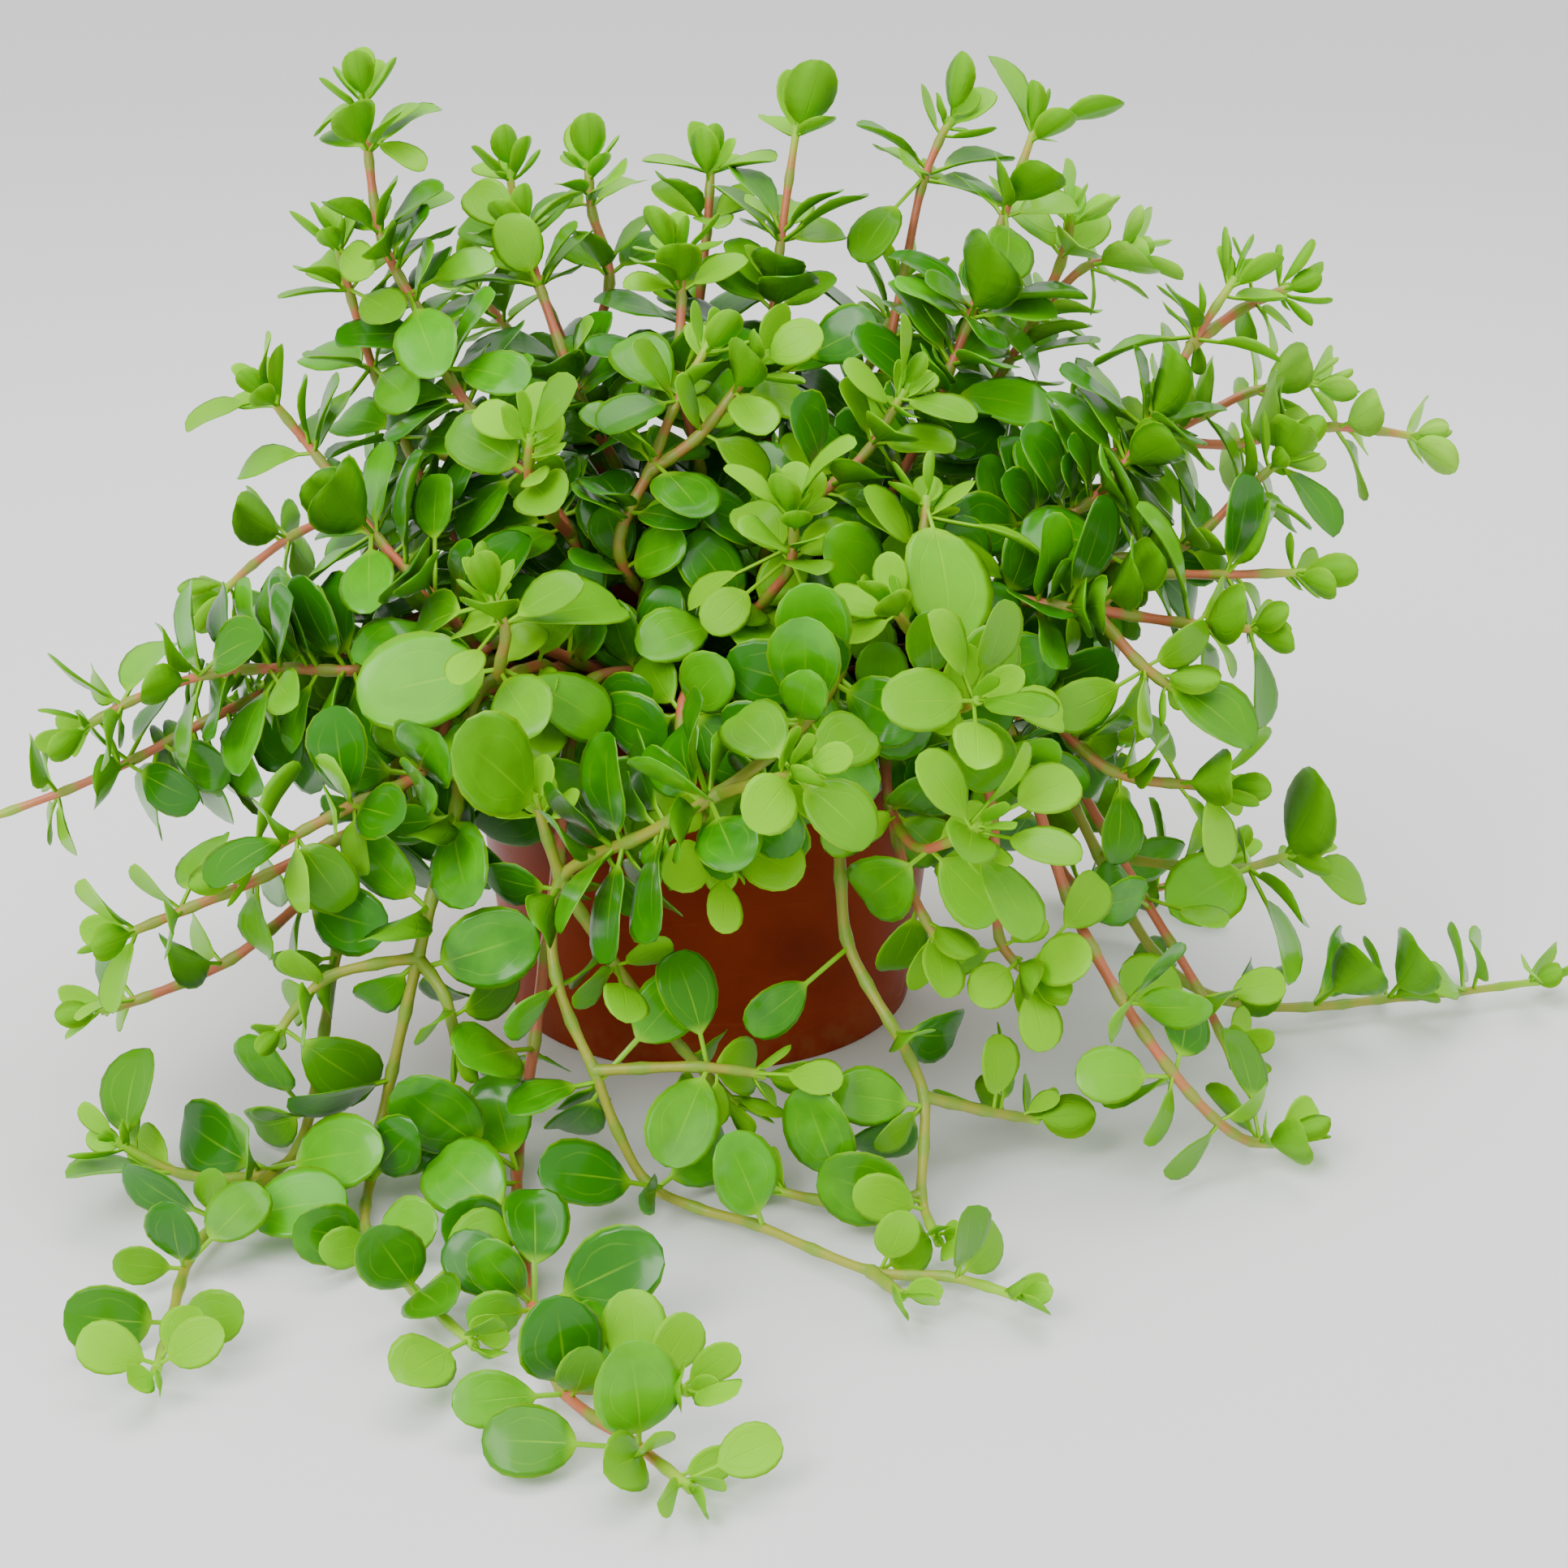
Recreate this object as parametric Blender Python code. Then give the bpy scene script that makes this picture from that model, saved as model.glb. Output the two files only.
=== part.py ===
"""A potted peperomia: trailing leafy stems that stand in soil, in a tapered plastic nursery pot.

The plant is laid out in millimetres and turned into metres where its meshes are made. The pot's base is
centred on the origin, +Z is up and the front of the plant faces -Y.
"""

import math
import random

import bmesh
import bpy
from mathutils import Vector
from mathutils.bvhtree import BVHTree

MM = 0.001

# Pot
POT_HEIGHT = 90.0
LIP_RADIUS = 60.0
LIP_HEIGHT = 6.5
WALL = 1.4
TOP_RADIUS = 57.4
BASE_RADIUS = 48.0
POT_SIDES = 24
FLOOR_THICK = 2.0
FOOT_HEIGHT = 2.0
FOOT_WIDTH = 4.0
PAD_RADIUS = 16.0
DRAIN_HOLES = 6
DRAIN_RADIUS = 4.0
DRAIN_RING = 31.0

# Soil
SOIL_TOP = 80.0
SOIL_GAP = 0.4
HOLE_DEPTH = 12.0
HOLE_GAP = 0.5
ROOT_SPREAD = 47.0
ROOT_PULL = 0.62

# Stems
STEM_RADIUS = 1.5
TIP_RADIUS = 1.0
INTERNODE = 34.0
STEM_ROOM = 3.8
STEM_SIDES = 3
WALL_CHECKS = 12

# Leaves
BLADE_THICK = 0.75
FULLNESS = 1.08
BASE_TAPER = 0.62
TIP_TAPER = 0.5
SEAT_STEP = 2.2
ROOT_DEPTH = 0.4
HAIR = 0.25
FLAT_ANGLE = 0.002
LEAF_ROOM = 0.4
LARGE_LEAF = 16.0
YOUNG_LEAF = 13.0
WHORL_SPREAD = 66.0
WHORL_SHORTEST, WHORL_LONGEST = 13.0, 22.0
WHORL_GAIN = 0.16
LIGHT_AXIS_Y = 48.0
LIGHT_LEAN = 0.45
SEED = 23

# Far side, where stems follow a rule
FAR_STEMS = 6
FAR_FROM, FAR_TO = 12.0, 168.0


def stem(*way, joins=None, tip=2, young=11.0, spread=52.0, whorl=0):
    """One stem: the points it grows through, the way point of the main stem that it joins, and its tip leaves."""
    return {"way": way, "joins": joins, "tip": tip, "young": young, "spread": spread, "whorl": whorl}


# Each rooted stem: its side shoots, and its large leaves as (x, y, z of the blade's middle, length).
PLANTS = {
    "tall_left": (
        [
            stem((-29, -22, 119), (-45, -14, 137), (-56, -6, 150), (-63, 0, 164), (-71, 6, 178), (-74, 12, 195),
                 (-75, 16, 210)),
            stem((-36, -38, 134), (-35, -43, 147), joins=0, tip=1),
        ],
        [(-69, 6, 204, 14), (-83, 18, 204, 12), (-66, 10, 197, 12), (-63, 2, 188, 15), (-62, -2, 171, 16),
         (-53, 2, 174, 14), (-60, -12, 160, 20), (-46, -14, 154, 18), (-32, -46, 152, 16), (-42, -40, 149, 12)],
    ),
    "left_upright": (
        [stem((-45, -10, 104), (-59, -6, 117), (-67, 0, 133), (-74, 5, 148), (-79, 8, 165), (-82, 10, 178), whorl=1)],
        [(-77, 2, 175, 12), (-70, 0, 164, 16), (-68, -8, 149, 18), (-83, -4, 141, 16), (-54, -12, 139, 18)],
    ),
    "left_arm": (
        [stem((-44, -40, 98), (-56, -43, 110), (-70, -30, 120), (-84, -18, 135), (-96, -15, 150), tip=2)],
        [(-95, -20, 158, 13), (-107, -18, 146, 14), (-71, -24, 132, 19), (-83, -30, 114, 17),
         (-71, -42, 115, 18), (-57, -36, 125, 16), (-58, -56, 120, 18)],
    ),
    "left_long": (
        [stem((-56, -36, 98), (-72, -48, 97), (-88, -48, 97), (-106, -46, 95), (-124, -44, 88), (-135, -46, 82))],
        [(-111, -38, 104, 19), (-99, -54, 104, 16), (-97, -58, 87, 20), (-86, -60, 94, 15), (-122, -34, 94, 18),
         (-92, -38, 108, 14), (-80, -38, 106, 20)],
    ),
    "left_far": (
        [stem((-60, -14, 98), (-78, -22, 93), (-94, -28, 86), (-110, -31, 79), (-126, -34, 71), (-142, -36, 64),
              (-164, -40, 57), tip=2)],
        [(-118, -42, 67, 16), (-147, -42, 73, 14), (-148, -32, 55, 12), (-124, -24, 78, 16), (-93, -38, 78, 18)],
    ),
    "big_left": (
        [stem((-34, -58, 97), (-41, -70, 102), (-39, -73, 113), (-42, -70, 121), young=8)],
        [(-57, -74, 103, 27), (-57, -64, 113, 22), (-26, -62, 115, 26), (-46, -84, 110, 10), (-26, -72, 98, 20)],
    ),
    "left_lime": (
        [stem((-46, -58, 95), (-56, -74, 85), (-69, -82, 80), (-80, -88, 76), (-92, -92, 70))],
        [(-73, -84, 90, 19), (-88, -80, 79, 20), (-64, -93, 82, 17), (-91, -98, 74, 18), (-76, -92, 67, 16)],
    ),
    "left_low": (
        [
            stem((-53, -62, 90), (-65, -74, 74), (-82, -78, 57), (-99, -80, 43), (-117, -84, 36), (-126, -86, 34),
                 tip=1),
            stem((-89, -86, 65), (-104, -91, 60), (-117, -96, 56), joins=1, tip=2),
        ],
        [(-119, -98, 62, 14), (-117, -101, 50, 15), (-125, -92, 38, 11), (-103, -80, 66, 16),
         (-91, -86, 53, 16), (-73, -88, 56, 20)],
    ),
    "left_trail": (
        [
            stem((-42, -66, 93), (-50, -78, 77), (-55, -86, 60), (-58, -90, 48), (-64, -94, 24), (-68, -104, 5),
                 (-66, -126, 4), (-54, -148, 4), (-40, -168, 4), tip=2),
            stem((-76, -95, 46), (-87, -98, 34), joins=3, tip=2, young=8),
            stem((-52, -96, 42), (-50, -98, 32), joins=3, tip=1, young=8),
        ],
        [(-49, -90, 70, 20), (-43, -94, 52, 22), (-65, -82, 67, 18), (-80, -100, 50, 12), (-74, -98, 26, 20),
         (-57, -132, 9, 15), (-50, -158, 9, 17), (-48, -180, 8, 17), (-42, -144, 12, 16), (-62, -112, 15, 17)],
    ),
    "left_outer": (
        [
            stem((-54, -50, 95), (-68, -64, 72), (-77, -76, 44), (-82, -90, 14), (-88, -102, 5), (-106, -108, 7),
                 (-119, -110, 16), tip=2),
            stem((-96, -120, 4), (-100, -136, 4), (-99, -158, 4), (-98, -178, 5), joins=4, tip=2),
        ],
        [(-74, -112, 14, 22), (-89, -96, 27, 17), (-93, -110, 14, 17), (-80, -124, 9, 20),
         (-120, -114, 12, 17), (-117, -104, 25, 18), (-108, -124, 12, 17), (-91, -130, 11, 15),
         (-104, -178, 9, 13), (-92, -176, 9, 12)],
    ),
    "front_floor": (
        [
            stem((-24, -58, 94), (-30, -70, 62), (-35, -84, 26), (-38, -100, 5), (-35, -124, 4), (-31, -151, 4),
                 (-23, -182, 4), (-9, -199, 4), (2, -213, 4), tip=2),
            stem((-10, -186, 7), (1, -195, 12), joins=6, tip=3),
        ],
        [(-42, -104, 33, 22), (-53, -108, 21, 23), (-47, -118, 12, 20), (-31, -138, 12, 19), (-41, -150, 9, 16),
         (-15, -158, 14, 22), (-17, -172, 8, 18), (-27, -203, 7, 17), (-34, -190, 7, 16), (-9, -184, 15, 15),
         (12, -209, 9, 12), (-9, -209, 7, 13)],
    ),
    "front_main": (
        [
            stem((34, -57, 97), (24, -82, 99), (5, -98, 88), (-13, -94, 76), (-28, -88, 65), (-29, -96, 47),
                 (-21, -104, 29), (-10, -110, 6), (12, -123, 4), (35, -141, 4), (50, -143, 4), (63, -152, 5),
                 tip=2, young=7),
            stem((-33, -89, 84), joins=4, tip=2),
            stem((21, -109, 97), joins=2, tip=3),
            stem((-18, -92, 49), (-3, -98, 31), (8, -98, 18), joins=4, tip=1),
            stem((0, -106, 31), (14, -104, 28), joins=6, tip=2, young=8),
            stem((41, -152, 5), joins=9, tip=1, young=7),
        ],
        [(-38, -97, 92, 26), (-45, -82, 90, 20), (-18, -93, 88, 21), (-28, -78, 93, 20), (-1, -107, 104, 20),
         (12, -98, 102, 18), (30, -98, 99, 17), (7, -113, 84, 16), (16, -116, 94, 14), (29, -113, 90, 17),
         (-14, -108, 47, 13), (-1, -102, 46, 18), (-2, -116, 24, 21), (10, -126, 17, 19), (-6, -100, 36, 18),
         (-32, -108, 27, 16), (-22, -119, 13, 21), (24, -112, 32, 12), (40, -143, 13, 11)],
    ),
    "front_hang": (
        [stem((-2, -60, 96), (-2, -80, 84), (5, -92, 73))],
        [(-1, -101, 74, 14), (15, -99, 74, 15), (6, -104, 66, 12), (-6, -92, 80, 14)],
    ),
    "front_up": (
        [stem((10, -46, 106), (19, -54, 121), (20, -53, 134), whorl=2)],
        [(3, -46, 119, 18), (-5, -58, 108, 17), (2, -68, 113, 12), (26, -66, 111, 16), (12, -60, 112, 20),
         (26, -56, 145, 16), (12, -54, 140, 14), (-12, -46, 110, 16)],
    ),
    "inner_right": (
        [stem((38, -46, 109), (46, -51, 121), (48, -44, 134), whorl=2)],
        [(33, -53, 121, 21), (52, -60, 121, 26), (66, -52, 126, 18)],
    ),
    "front_lime": (
        [
            stem((-15, -34, 112), (-17, -36, 124), (-11, -32, 136), (-6, -27, 148), (2, -22, 162), whorl=1),
            stem((-1, -31, 143), (6, -29, 151), (13, -27, 160), joins=2),
        ],
        [(-3, -44, 135, 18), (-20, -42, 132, 16), (-14, -34, 150, 17), (-12, -20, 158, 18), (11, -37, 151, 15),
         (20, -31, 164, 13)],
    ),
    "centre_lime": (
        [stem((14, -33, 118), (25, -31, 130), (36, -26, 139), (44, -23, 152), tip=3, whorl=2)],
        [(44, -25, 162, 14), (52, -30, 150, 16), (36, -28, 155, 14), (24, -42, 148, 18)],
    ),
    "front_right": (
        [
            stem((22, -59, 94), (29, -74, 74), (31, -84, 50), (40, -96, 36), (47, -102, 22), (46, -118, 8),
                 (49, -132, 5), tip=2, young=7),
            stem((60, -95, 15), (72, -88, 9), joins=4, tip=2),
            stem((34, -118, 5), (16, -109, 4), joins=5, tip=2),
        ],
        [(15, -98, 39, 16), (36, -106, 24, 16), (63, -94, 25, 13), (56, -84, 12, 14), (25, -116, 21, 20)],
    ),
    "right_big": (
        [
            stem((46, -58, 97), (52, -76, 98), (57, -90, 105), tip=3),
            stem((46, -66, 108), (40, -70, 118), joins=0, tip=3),
        ],
        [(51, -90, 117, 15), (64, -98, 107, 18), (46, -93, 106, 17), (56, -102, 100, 14), (70, -84, 101, 15),
         (60, -86, 116, 16)],
    ),
    "right_rosette": (
        [
            stem((38, -61, 94), (40, -76, 77), (46, -91, 73), (57, -101, 82), tip=2),
            stem((44, -85, 62), (50, -91, 52), joins=1, tip=2),
        ],
        [(50, -99, 90, 16), (62, -100, 93, 15), (55, -111, 84, 17), (70, -106, 80, 15), (74, -92, 88, 14),
         (63, -106, 69, 19), (38, -88, 63, 19), (50, -99, 50, 14)],
    ),
    "right_low": (
        [stem((55, -50, 94), (62, -70, 72), (63, -84, 50), (70, -90, 44), tip=3)],
        [(75, -95, 50, 14), (71, -95, 36, 13), (61, -96, 45, 12), (77, -80, 54, 16)],
    ),
    "right_trail": (
        [stem((60, -44, 94), (71, -62, 74), (78, -75, 55), (88, -89, 39), (98, -96, 26), (108, -96, 14),
              (117, -92, 6), (125, -90, 5))],
        [(95, -97, 49, 16), (103, -86, 31, 16), (119, -98, 12, 10), (117, -78, 18, 17), (86, -100, 26, 15)],
    ),
    "right_tip": (
        [stem((64, -32, 97), (77, -50, 85), (88, -57, 77), (101, -57, 74), (112, -56, 73))],
        [(116, -60, 82, 16), (111, -65, 66, 15), (98, -48, 82, 16), (90, -63, 66, 16)],
    ),
    "right_flat": (
        [
            stem((54, -36, 106), (68, -44, 111), (84, -47, 110), (93, -37, 114), (113, -29, 112), (133, -24, 111)),
            stem((103, -44, 106), (121, -40, 103), joins=2),
            stem((93, -55, 101), (101, -56, 95), joins=2, tip=1, young=13),
        ],
        [(79, -38, 124, 20), (101, -46, 123, 25), (92, -30, 131, 22), (118, -26, 122, 20), (72, -56, 114, 18),
         (108, -62, 89, 23), (122, -46, 92, 18), (82, -62, 94, 16)],
    ),
    "right_far": (
        [
            stem((62, -12, 96), (76, -20, 72), (90, -26, 44), (104, -28, 20), (120, -27, 8), (140, -25, 5),
                 (158, -21, 5), (177, -17, 5), (198, -11, 5)),
            stem((106, -34, 45), (121, -34, 44), (134, -29, 46), joins=2, tip=2),
        ],
        [(136, -34, 57, 23), (113, -46, 45, 23), (131, -42, 30, 20), (146, -26, 38, 16), (150, -33, 18, 19),
         (164, -30, 19, 22), (171, -26, 12, 15), (181, -22, 17, 16), (194, -19, 12, 11)],
    ),
    "right_pair": (
        [stem((66, -24, 94), (82, -34, 68), (97, -46, 44), (110, -55, 24), (117, -64, 11), tip=2)],
        [(110, -58, 43, 14), (123, -58, 26, 12), (92, -58, 50, 16), (99, -60, 28, 16)],
    ),
    "right_up": (
        [
            stem((52, -10, 108), (70, -20, 120), (84, -23, 126), (97, -14, 139), (108, -4, 157), (118, 2, 171), whorl=1),
            stem((120, 6, 163), (132, 12, 167), joins=4, tip=2),
        ],
        [(106, -10, 168, 15), (121, -8, 158, 15), (95, 0, 157, 18), (86, -14, 150, 18), (103, -24, 144, 18)],
    ),
    "right_mid": (
        [stem((58, -2, 104), (82, -12, 110), (105, -17, 114), (119, -11, 124), (130, -7, 133), whorl=2)],
        [(130, -14, 139, 15), (135, -14, 125, 19)],
    ),
    "right_back": (
        [
            stem((50, 10, 110), (77, 13, 123), (104, 15, 131), (126, 23, 140), (143, 28, 141), whorl=1),
            stem((122, 18, 129), (146, 26, 131), (168, 32, 127), joins=2, tip=2, young=9),
        ],
        [],
    ),
    "tall_right": (
        [stem((36, 2, 112), (50, 0, 139), (59, 7, 159), (67, 18, 180), (75, 27, 201), whorl=1)],
        [(69, 30, 209, 17), (87, 24, 205, 15), (68, 6, 177, 16), (62, -6, 161, 17), (51, 4, 167, 18)],
    ),
    "back_right": (
        [stem((34, 24, 112), (42, 32, 146), (50, 42, 184), (57, 48, 199), spread=34, young=14, whorl=2)],
        [(60, 44, 184, 18), (39, 32, 176, 16)],
    ),
    "back_pale": (
        [
            stem((46, 22, 112), (63, 26, 134), (76, 32, 154), (88, 38, 166), (101, 44, 169), whorl=1),
            stem((82, 32, 168), (84, 30, 180), joins=2, tip=2),
        ],
        [],
    ),
    "tall_mid": (
        [stem((12, 12, 112), (14, 18, 142), (17, 29, 172), (21, 37, 199), spread=34, young=15, whorl=2)],
        [(8, 36, 182, 16), (29, 27, 183, 17), (33, 12, 160, 20), (4, 14, 152, 18)],
    ),
    "back_mid": (
        [stem((2, 24, 112), (-2, 33, 150), (0, 40, 174), (1, 46, 189), tip=3, whorl=2)],
        [(-6, 44, 189, 14), (9, 41, 190, 15)],
    ),
    "mid_left": (
        [stem((-12, 8, 112), (-28, 7, 142), (-37, 18, 164), (-42, 24, 179), tip=3, whorl=2)],
        [(-49, 26, 183, 14), (-35, 26, 183, 14), (-42, 17, 176, 14)],
    ),
    "back_left": (
        [
            stem((-18, 24, 112), (-30, 31, 142), (-42, 38, 168), (-46, 43, 188), tip=3, whorl=1),
            stem((-23, 40, 162), (-27, 46, 177), (-28, 50, 189), joins=1, spread=36, young=13),
        ],
        [],
    ),
    "mid_lime": (
        [stem((-2, -6, 112), (-5, 0, 146), (-5, 8, 165), (-6, 13, 176), tip=3, whorl=2)],
        [],
    ),
}
PALE = ("back_pale", "right_back")


# Laying out the plant

def pot_profile():
    """The pot's section as (radius, height), from the middle of its base round to the middle of its floor."""
    inner_floor = FOOT_HEIGHT + FLOOR_THICK
    shoulder = POT_HEIGHT - LIP_HEIGHT
    return [
        (0, 0), (PAD_RADIUS, 0), (PAD_RADIUS + 1, FOOT_HEIGHT), (BASE_RADIUS - FOOT_WIDTH - 1, FOOT_HEIGHT),
        (BASE_RADIUS - FOOT_WIDTH, 0), (BASE_RADIUS, 0), (TOP_RADIUS, shoulder), (LIP_RADIUS - 0.8, shoulder),
        (LIP_RADIUS, shoulder + 1), (LIP_RADIUS, POT_HEIGHT - 1.2), (LIP_RADIUS - 1.2, POT_HEIGHT),
        (TOP_RADIUS - WALL + 0.6, POT_HEIGHT), (TOP_RADIUS - WALL, POT_HEIGHT - 0.8),
        (BASE_RADIUS - WALL, inner_floor), (0, inner_floor),
    ]


def pot_shell():
    """The pot's wall and lip as points and faces, for keeping blades clear of them."""
    profile = pot_profile()[5:-1]
    points, faces = [], []
    for k in range(POT_SIDES):
        angle = math.tau * k / POT_SIDES
        points += [Vector((r * math.cos(angle), r * math.sin(angle), z)) for r, z in profile]
        first, after = k * len(profile), (k + 1) % POT_SIDES * len(profile)
        faces += [[first + i, after + i, after + i + 1, first + i + 1] for i in range(len(profile) - 1)]
    return points, faces


def wall_radius(z):
    """The pot wall's outer radius at a height."""
    rise = min(max(z / (POT_HEIGHT - LIP_HEIGHT), 0.0), 1.0)
    return BASE_RADIUS + (TOP_RADIUS - BASE_RADIUS) * rise


def far_plants():
    """Rooted stems of the far side: evenly turned, and in turn trailing, domed and reaching outwards."""
    shapes = (
        (((58, 97), (73, 74), (82, 42), (96, 12), (120, 5), (146, 6)), ((94, 50), (112, 44)), 1),
        (((28, 112), (48, 134), (64, 150), (76, 160)), ((58, 116), (76, 122)), 0),
        (((46, 104), (74, 114), (100, 106), (120, 90)), ((88, 92), (104, 76)), 1),
    )
    draw = random.Random(SEED)
    found = {}
    for number in range(FAR_STEMS):
        angle = FAR_FROM + (FAR_TO - FAR_FROM) * number / (FAR_STEMS - 1)
        main, side, joins = shapes[number % len(shapes)]
        sway = draw.uniform(-0.9, 0.9)

        def place(reach, height, turn):
            heading = math.radians(angle + turn)
            return (reach * math.cos(heading), reach * math.sin(heading), height)

        stems = [
            stem(*(place(r, z, sway * step * 3) for step, (r, z) in enumerate(main)), whorl=2),
            stem(*(place(r, z, 9 + 5 * step) for step, (r, z) in enumerate(side)), joins=joins, tip=3),
        ]
        found[f"far_{number + 1}"] = (stems, [])
    return found


def sunflower(count, radius):
    """Evenly spread spots in a disc."""
    turn = math.pi * (3 - math.sqrt(5))
    for k in range(count):
        reach = radius * math.sqrt((k + 0.5) / count)
        yield reach * math.cos(turn * k), reach * math.sin(turn * k)


def smooth_route(points):
    """Joints on a smooth curve through the points, about one internode apart, and each point's index in them."""
    points = [Vector(p) for p in points]
    spans = [(b - a).normalized() for a, b in zip(points, points[1:])]
    headings = [spans[0]] + [(a + b).normalized() for a, b in zip(spans, spans[1:])] + [spans[-1]]
    joints, places = [points[0]], [0]
    for i, (a, b) in enumerate(zip(points, points[1:])):
        size = (b - a).length
        steps = max(1, round(size / INTERNODE))
        for step in range(1, steps + 1):
            t = step / steps
            joints.append(
                a * (2 * t**3 - 3 * t**2 + 1) + b * (3 * t**2 - 2 * t**3)
                + headings[i] * (size * (t**3 - 2 * t**2 + t)) + headings[i + 1] * (size * (t**3 - t**2))
            )
        places.append(len(joints) - 1)
    return joints, places


class Plant:
    """One rooted stem with its side shoots: joints, and the list of joints along each stem."""

    def __init__(self, name, stems, wishes, root):
        self.name = name
        self.stems = stems
        self.wishes = wishes
        self.leaves = []
        self.seats = []
        base = [(root[0], root[1], SOIL_TOP - HOLE_DEPTH + 1), (root[0], root[1], SOIL_TOP + 4)]
        self.joints, places = smooth_route(base + list(stems[0]["way"]))
        self.lines = [list(range(len(self.joints)))]
        for side in stems[1:]:
            start = places[side["joins"] + 2]
            extra, _ = smooth_route([self.joints[start]] + list(side["way"]))
            first = len(self.joints)
            self.joints += extra[1:]
            self.lines.append([start] + list(range(first, len(self.joints))))

    def segments(self):
        return [(a, b) for line in self.lines for a, b in zip(line, line[1:])]

    def frame_stems(self):
        """Each stem's rings: centre, two directions across, and radius. They turn with the stem and don't twist."""
        self.rings = []
        for number, line in enumerate(self.lines):
            u, v, heading = Vector((1, 0, 0)), Vector((0, 1, 0)), Vector((0, 0, 1))
            start = STEM_RADIUS if number == 0 else STEM_RADIUS * 0.85
            rings = []
            for step, joint in enumerate(line):
                growing = self.tangent(number, step)
                turn = heading.rotation_difference(growing)
                u, v, heading = turn @ u, turn @ v, growing
                part = step / (len(line) - 1)
                rings.append((self.joints[joint], u, v, start + (TIP_RADIUS - start) * part**1.5))
            self.rings.append(rings)

    def tangent(self, number, step):
        line = self.lines[number]
        before = self.joints[line[max(step - 1, 0)]]
        after = self.joints[line[min(step + 1, len(line) - 1)]]
        return (after - before).normalized()

    def seat(self, number, step, outward):
        """Where a leaf leaves its stem on the side that it heads for, clear of its fellows there, and that side."""
        rings = self.rings[number]
        last = step == len(rings) - 1
        centre, u, v, radius = rings[step]
        beyond, _, _, radius_beyond = rings[step - 1 if last else step + 1]
        heading = (beyond - centre).normalized()
        if last and outward.dot(heading) < -0.85 * outward.length:
            return centre.copy(), -heading
        side = (outward - heading * outward.dot(heading)).normalized()
        fellows = sum(1 for n, s, other in self.seats if (n, s) == (number, step) and other.dot(side) > 0.6)
        away = SEAT_STEP * (1 + fellows)
        part = away / (beyond - centre).length
        corner = math.atan2(side.dot(v), side.dot(u)) % (math.tau / STEM_SIDES) - math.pi / STEM_SIDES
        surface = (radius + (radius_beyond - radius) * part) * math.cos(math.pi / STEM_SIDES) / math.cos(corner)
        return centre + heading * away + side * surface, side


def root_plants():
    """Gives each plant the free spot in the soil that is nearest to where it heads."""
    table = {**PLANTS, **far_plants()}
    spots = list(sunflower(len(table) + 3, ROOT_SPREAD))
    plants = []
    for name, (stems, wishes) in table.items():
        x, y, _ = stems[0]["way"][0]
        spot = min(spots, key=lambda s: math.hypot(s[0] - ROOT_PULL * x, s[1] - ROOT_PULL * y))
        spots.remove(spot)
        plants.append(Plant(name, stems, wishes, spot))
    return plants


def nearest_points(a, b, c, d):
    """How far along each of two segments they come closest, and the way from the second to the first there."""
    u, v, w = b - a, d - c, a - c
    uu, uv, vv, uw, vw = u.dot(u), u.dot(v), v.dot(v), u.dot(w), v.dot(w)
    spread = uu * vv - uv * uv
    s = min(max((uv * vw - vv * uw) / spread, 0.0), 1.0) if spread > 1e-9 else 0.0
    t = min(max((uv * s + vw) / vv, 0.0), 1.0)
    s = min(max((uv * t - uw) / uu, 0.0), 1.0)
    return s, t, (a + u * s) - (c + v * t)


def off_pot(point, room):
    """The shortest way out of the pot's wall, the soil or the ground, for a stem of this room."""
    move = Vector((0, 0, max(0.0, room + 0.4 - point.z)))
    reach = math.hypot(point.x, point.y)
    outer = (LIP_RADIUS if point.z > POT_HEIGHT - LIP_HEIGHT - 2 else wall_radius(point.z)) + room
    top = POT_HEIGHT + room
    inner = TOP_RADIUS - WALL - room
    if point.z < top and inner < reach < outer:
        outwards = Vector((point.x, point.y, 0)) / reach
        ways = [Vector((0, 0, top - point.z))]
        if reach > LIP_RADIUS or point.z < POT_HEIGHT - 2 * LIP_HEIGHT:
            ways.append(outwards * (outer - reach))
        if reach < TOP_RADIUS - WALL and point.z > SOIL_TOP + room:
            ways.append(outwards * (inner - reach))
        move += min(ways, key=lambda way: way.length)
    elif reach <= inner and point.z < SOIL_TOP + room + 1:
        move.z += SOIL_TOP + room + 1 - point.z
    return move


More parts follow.
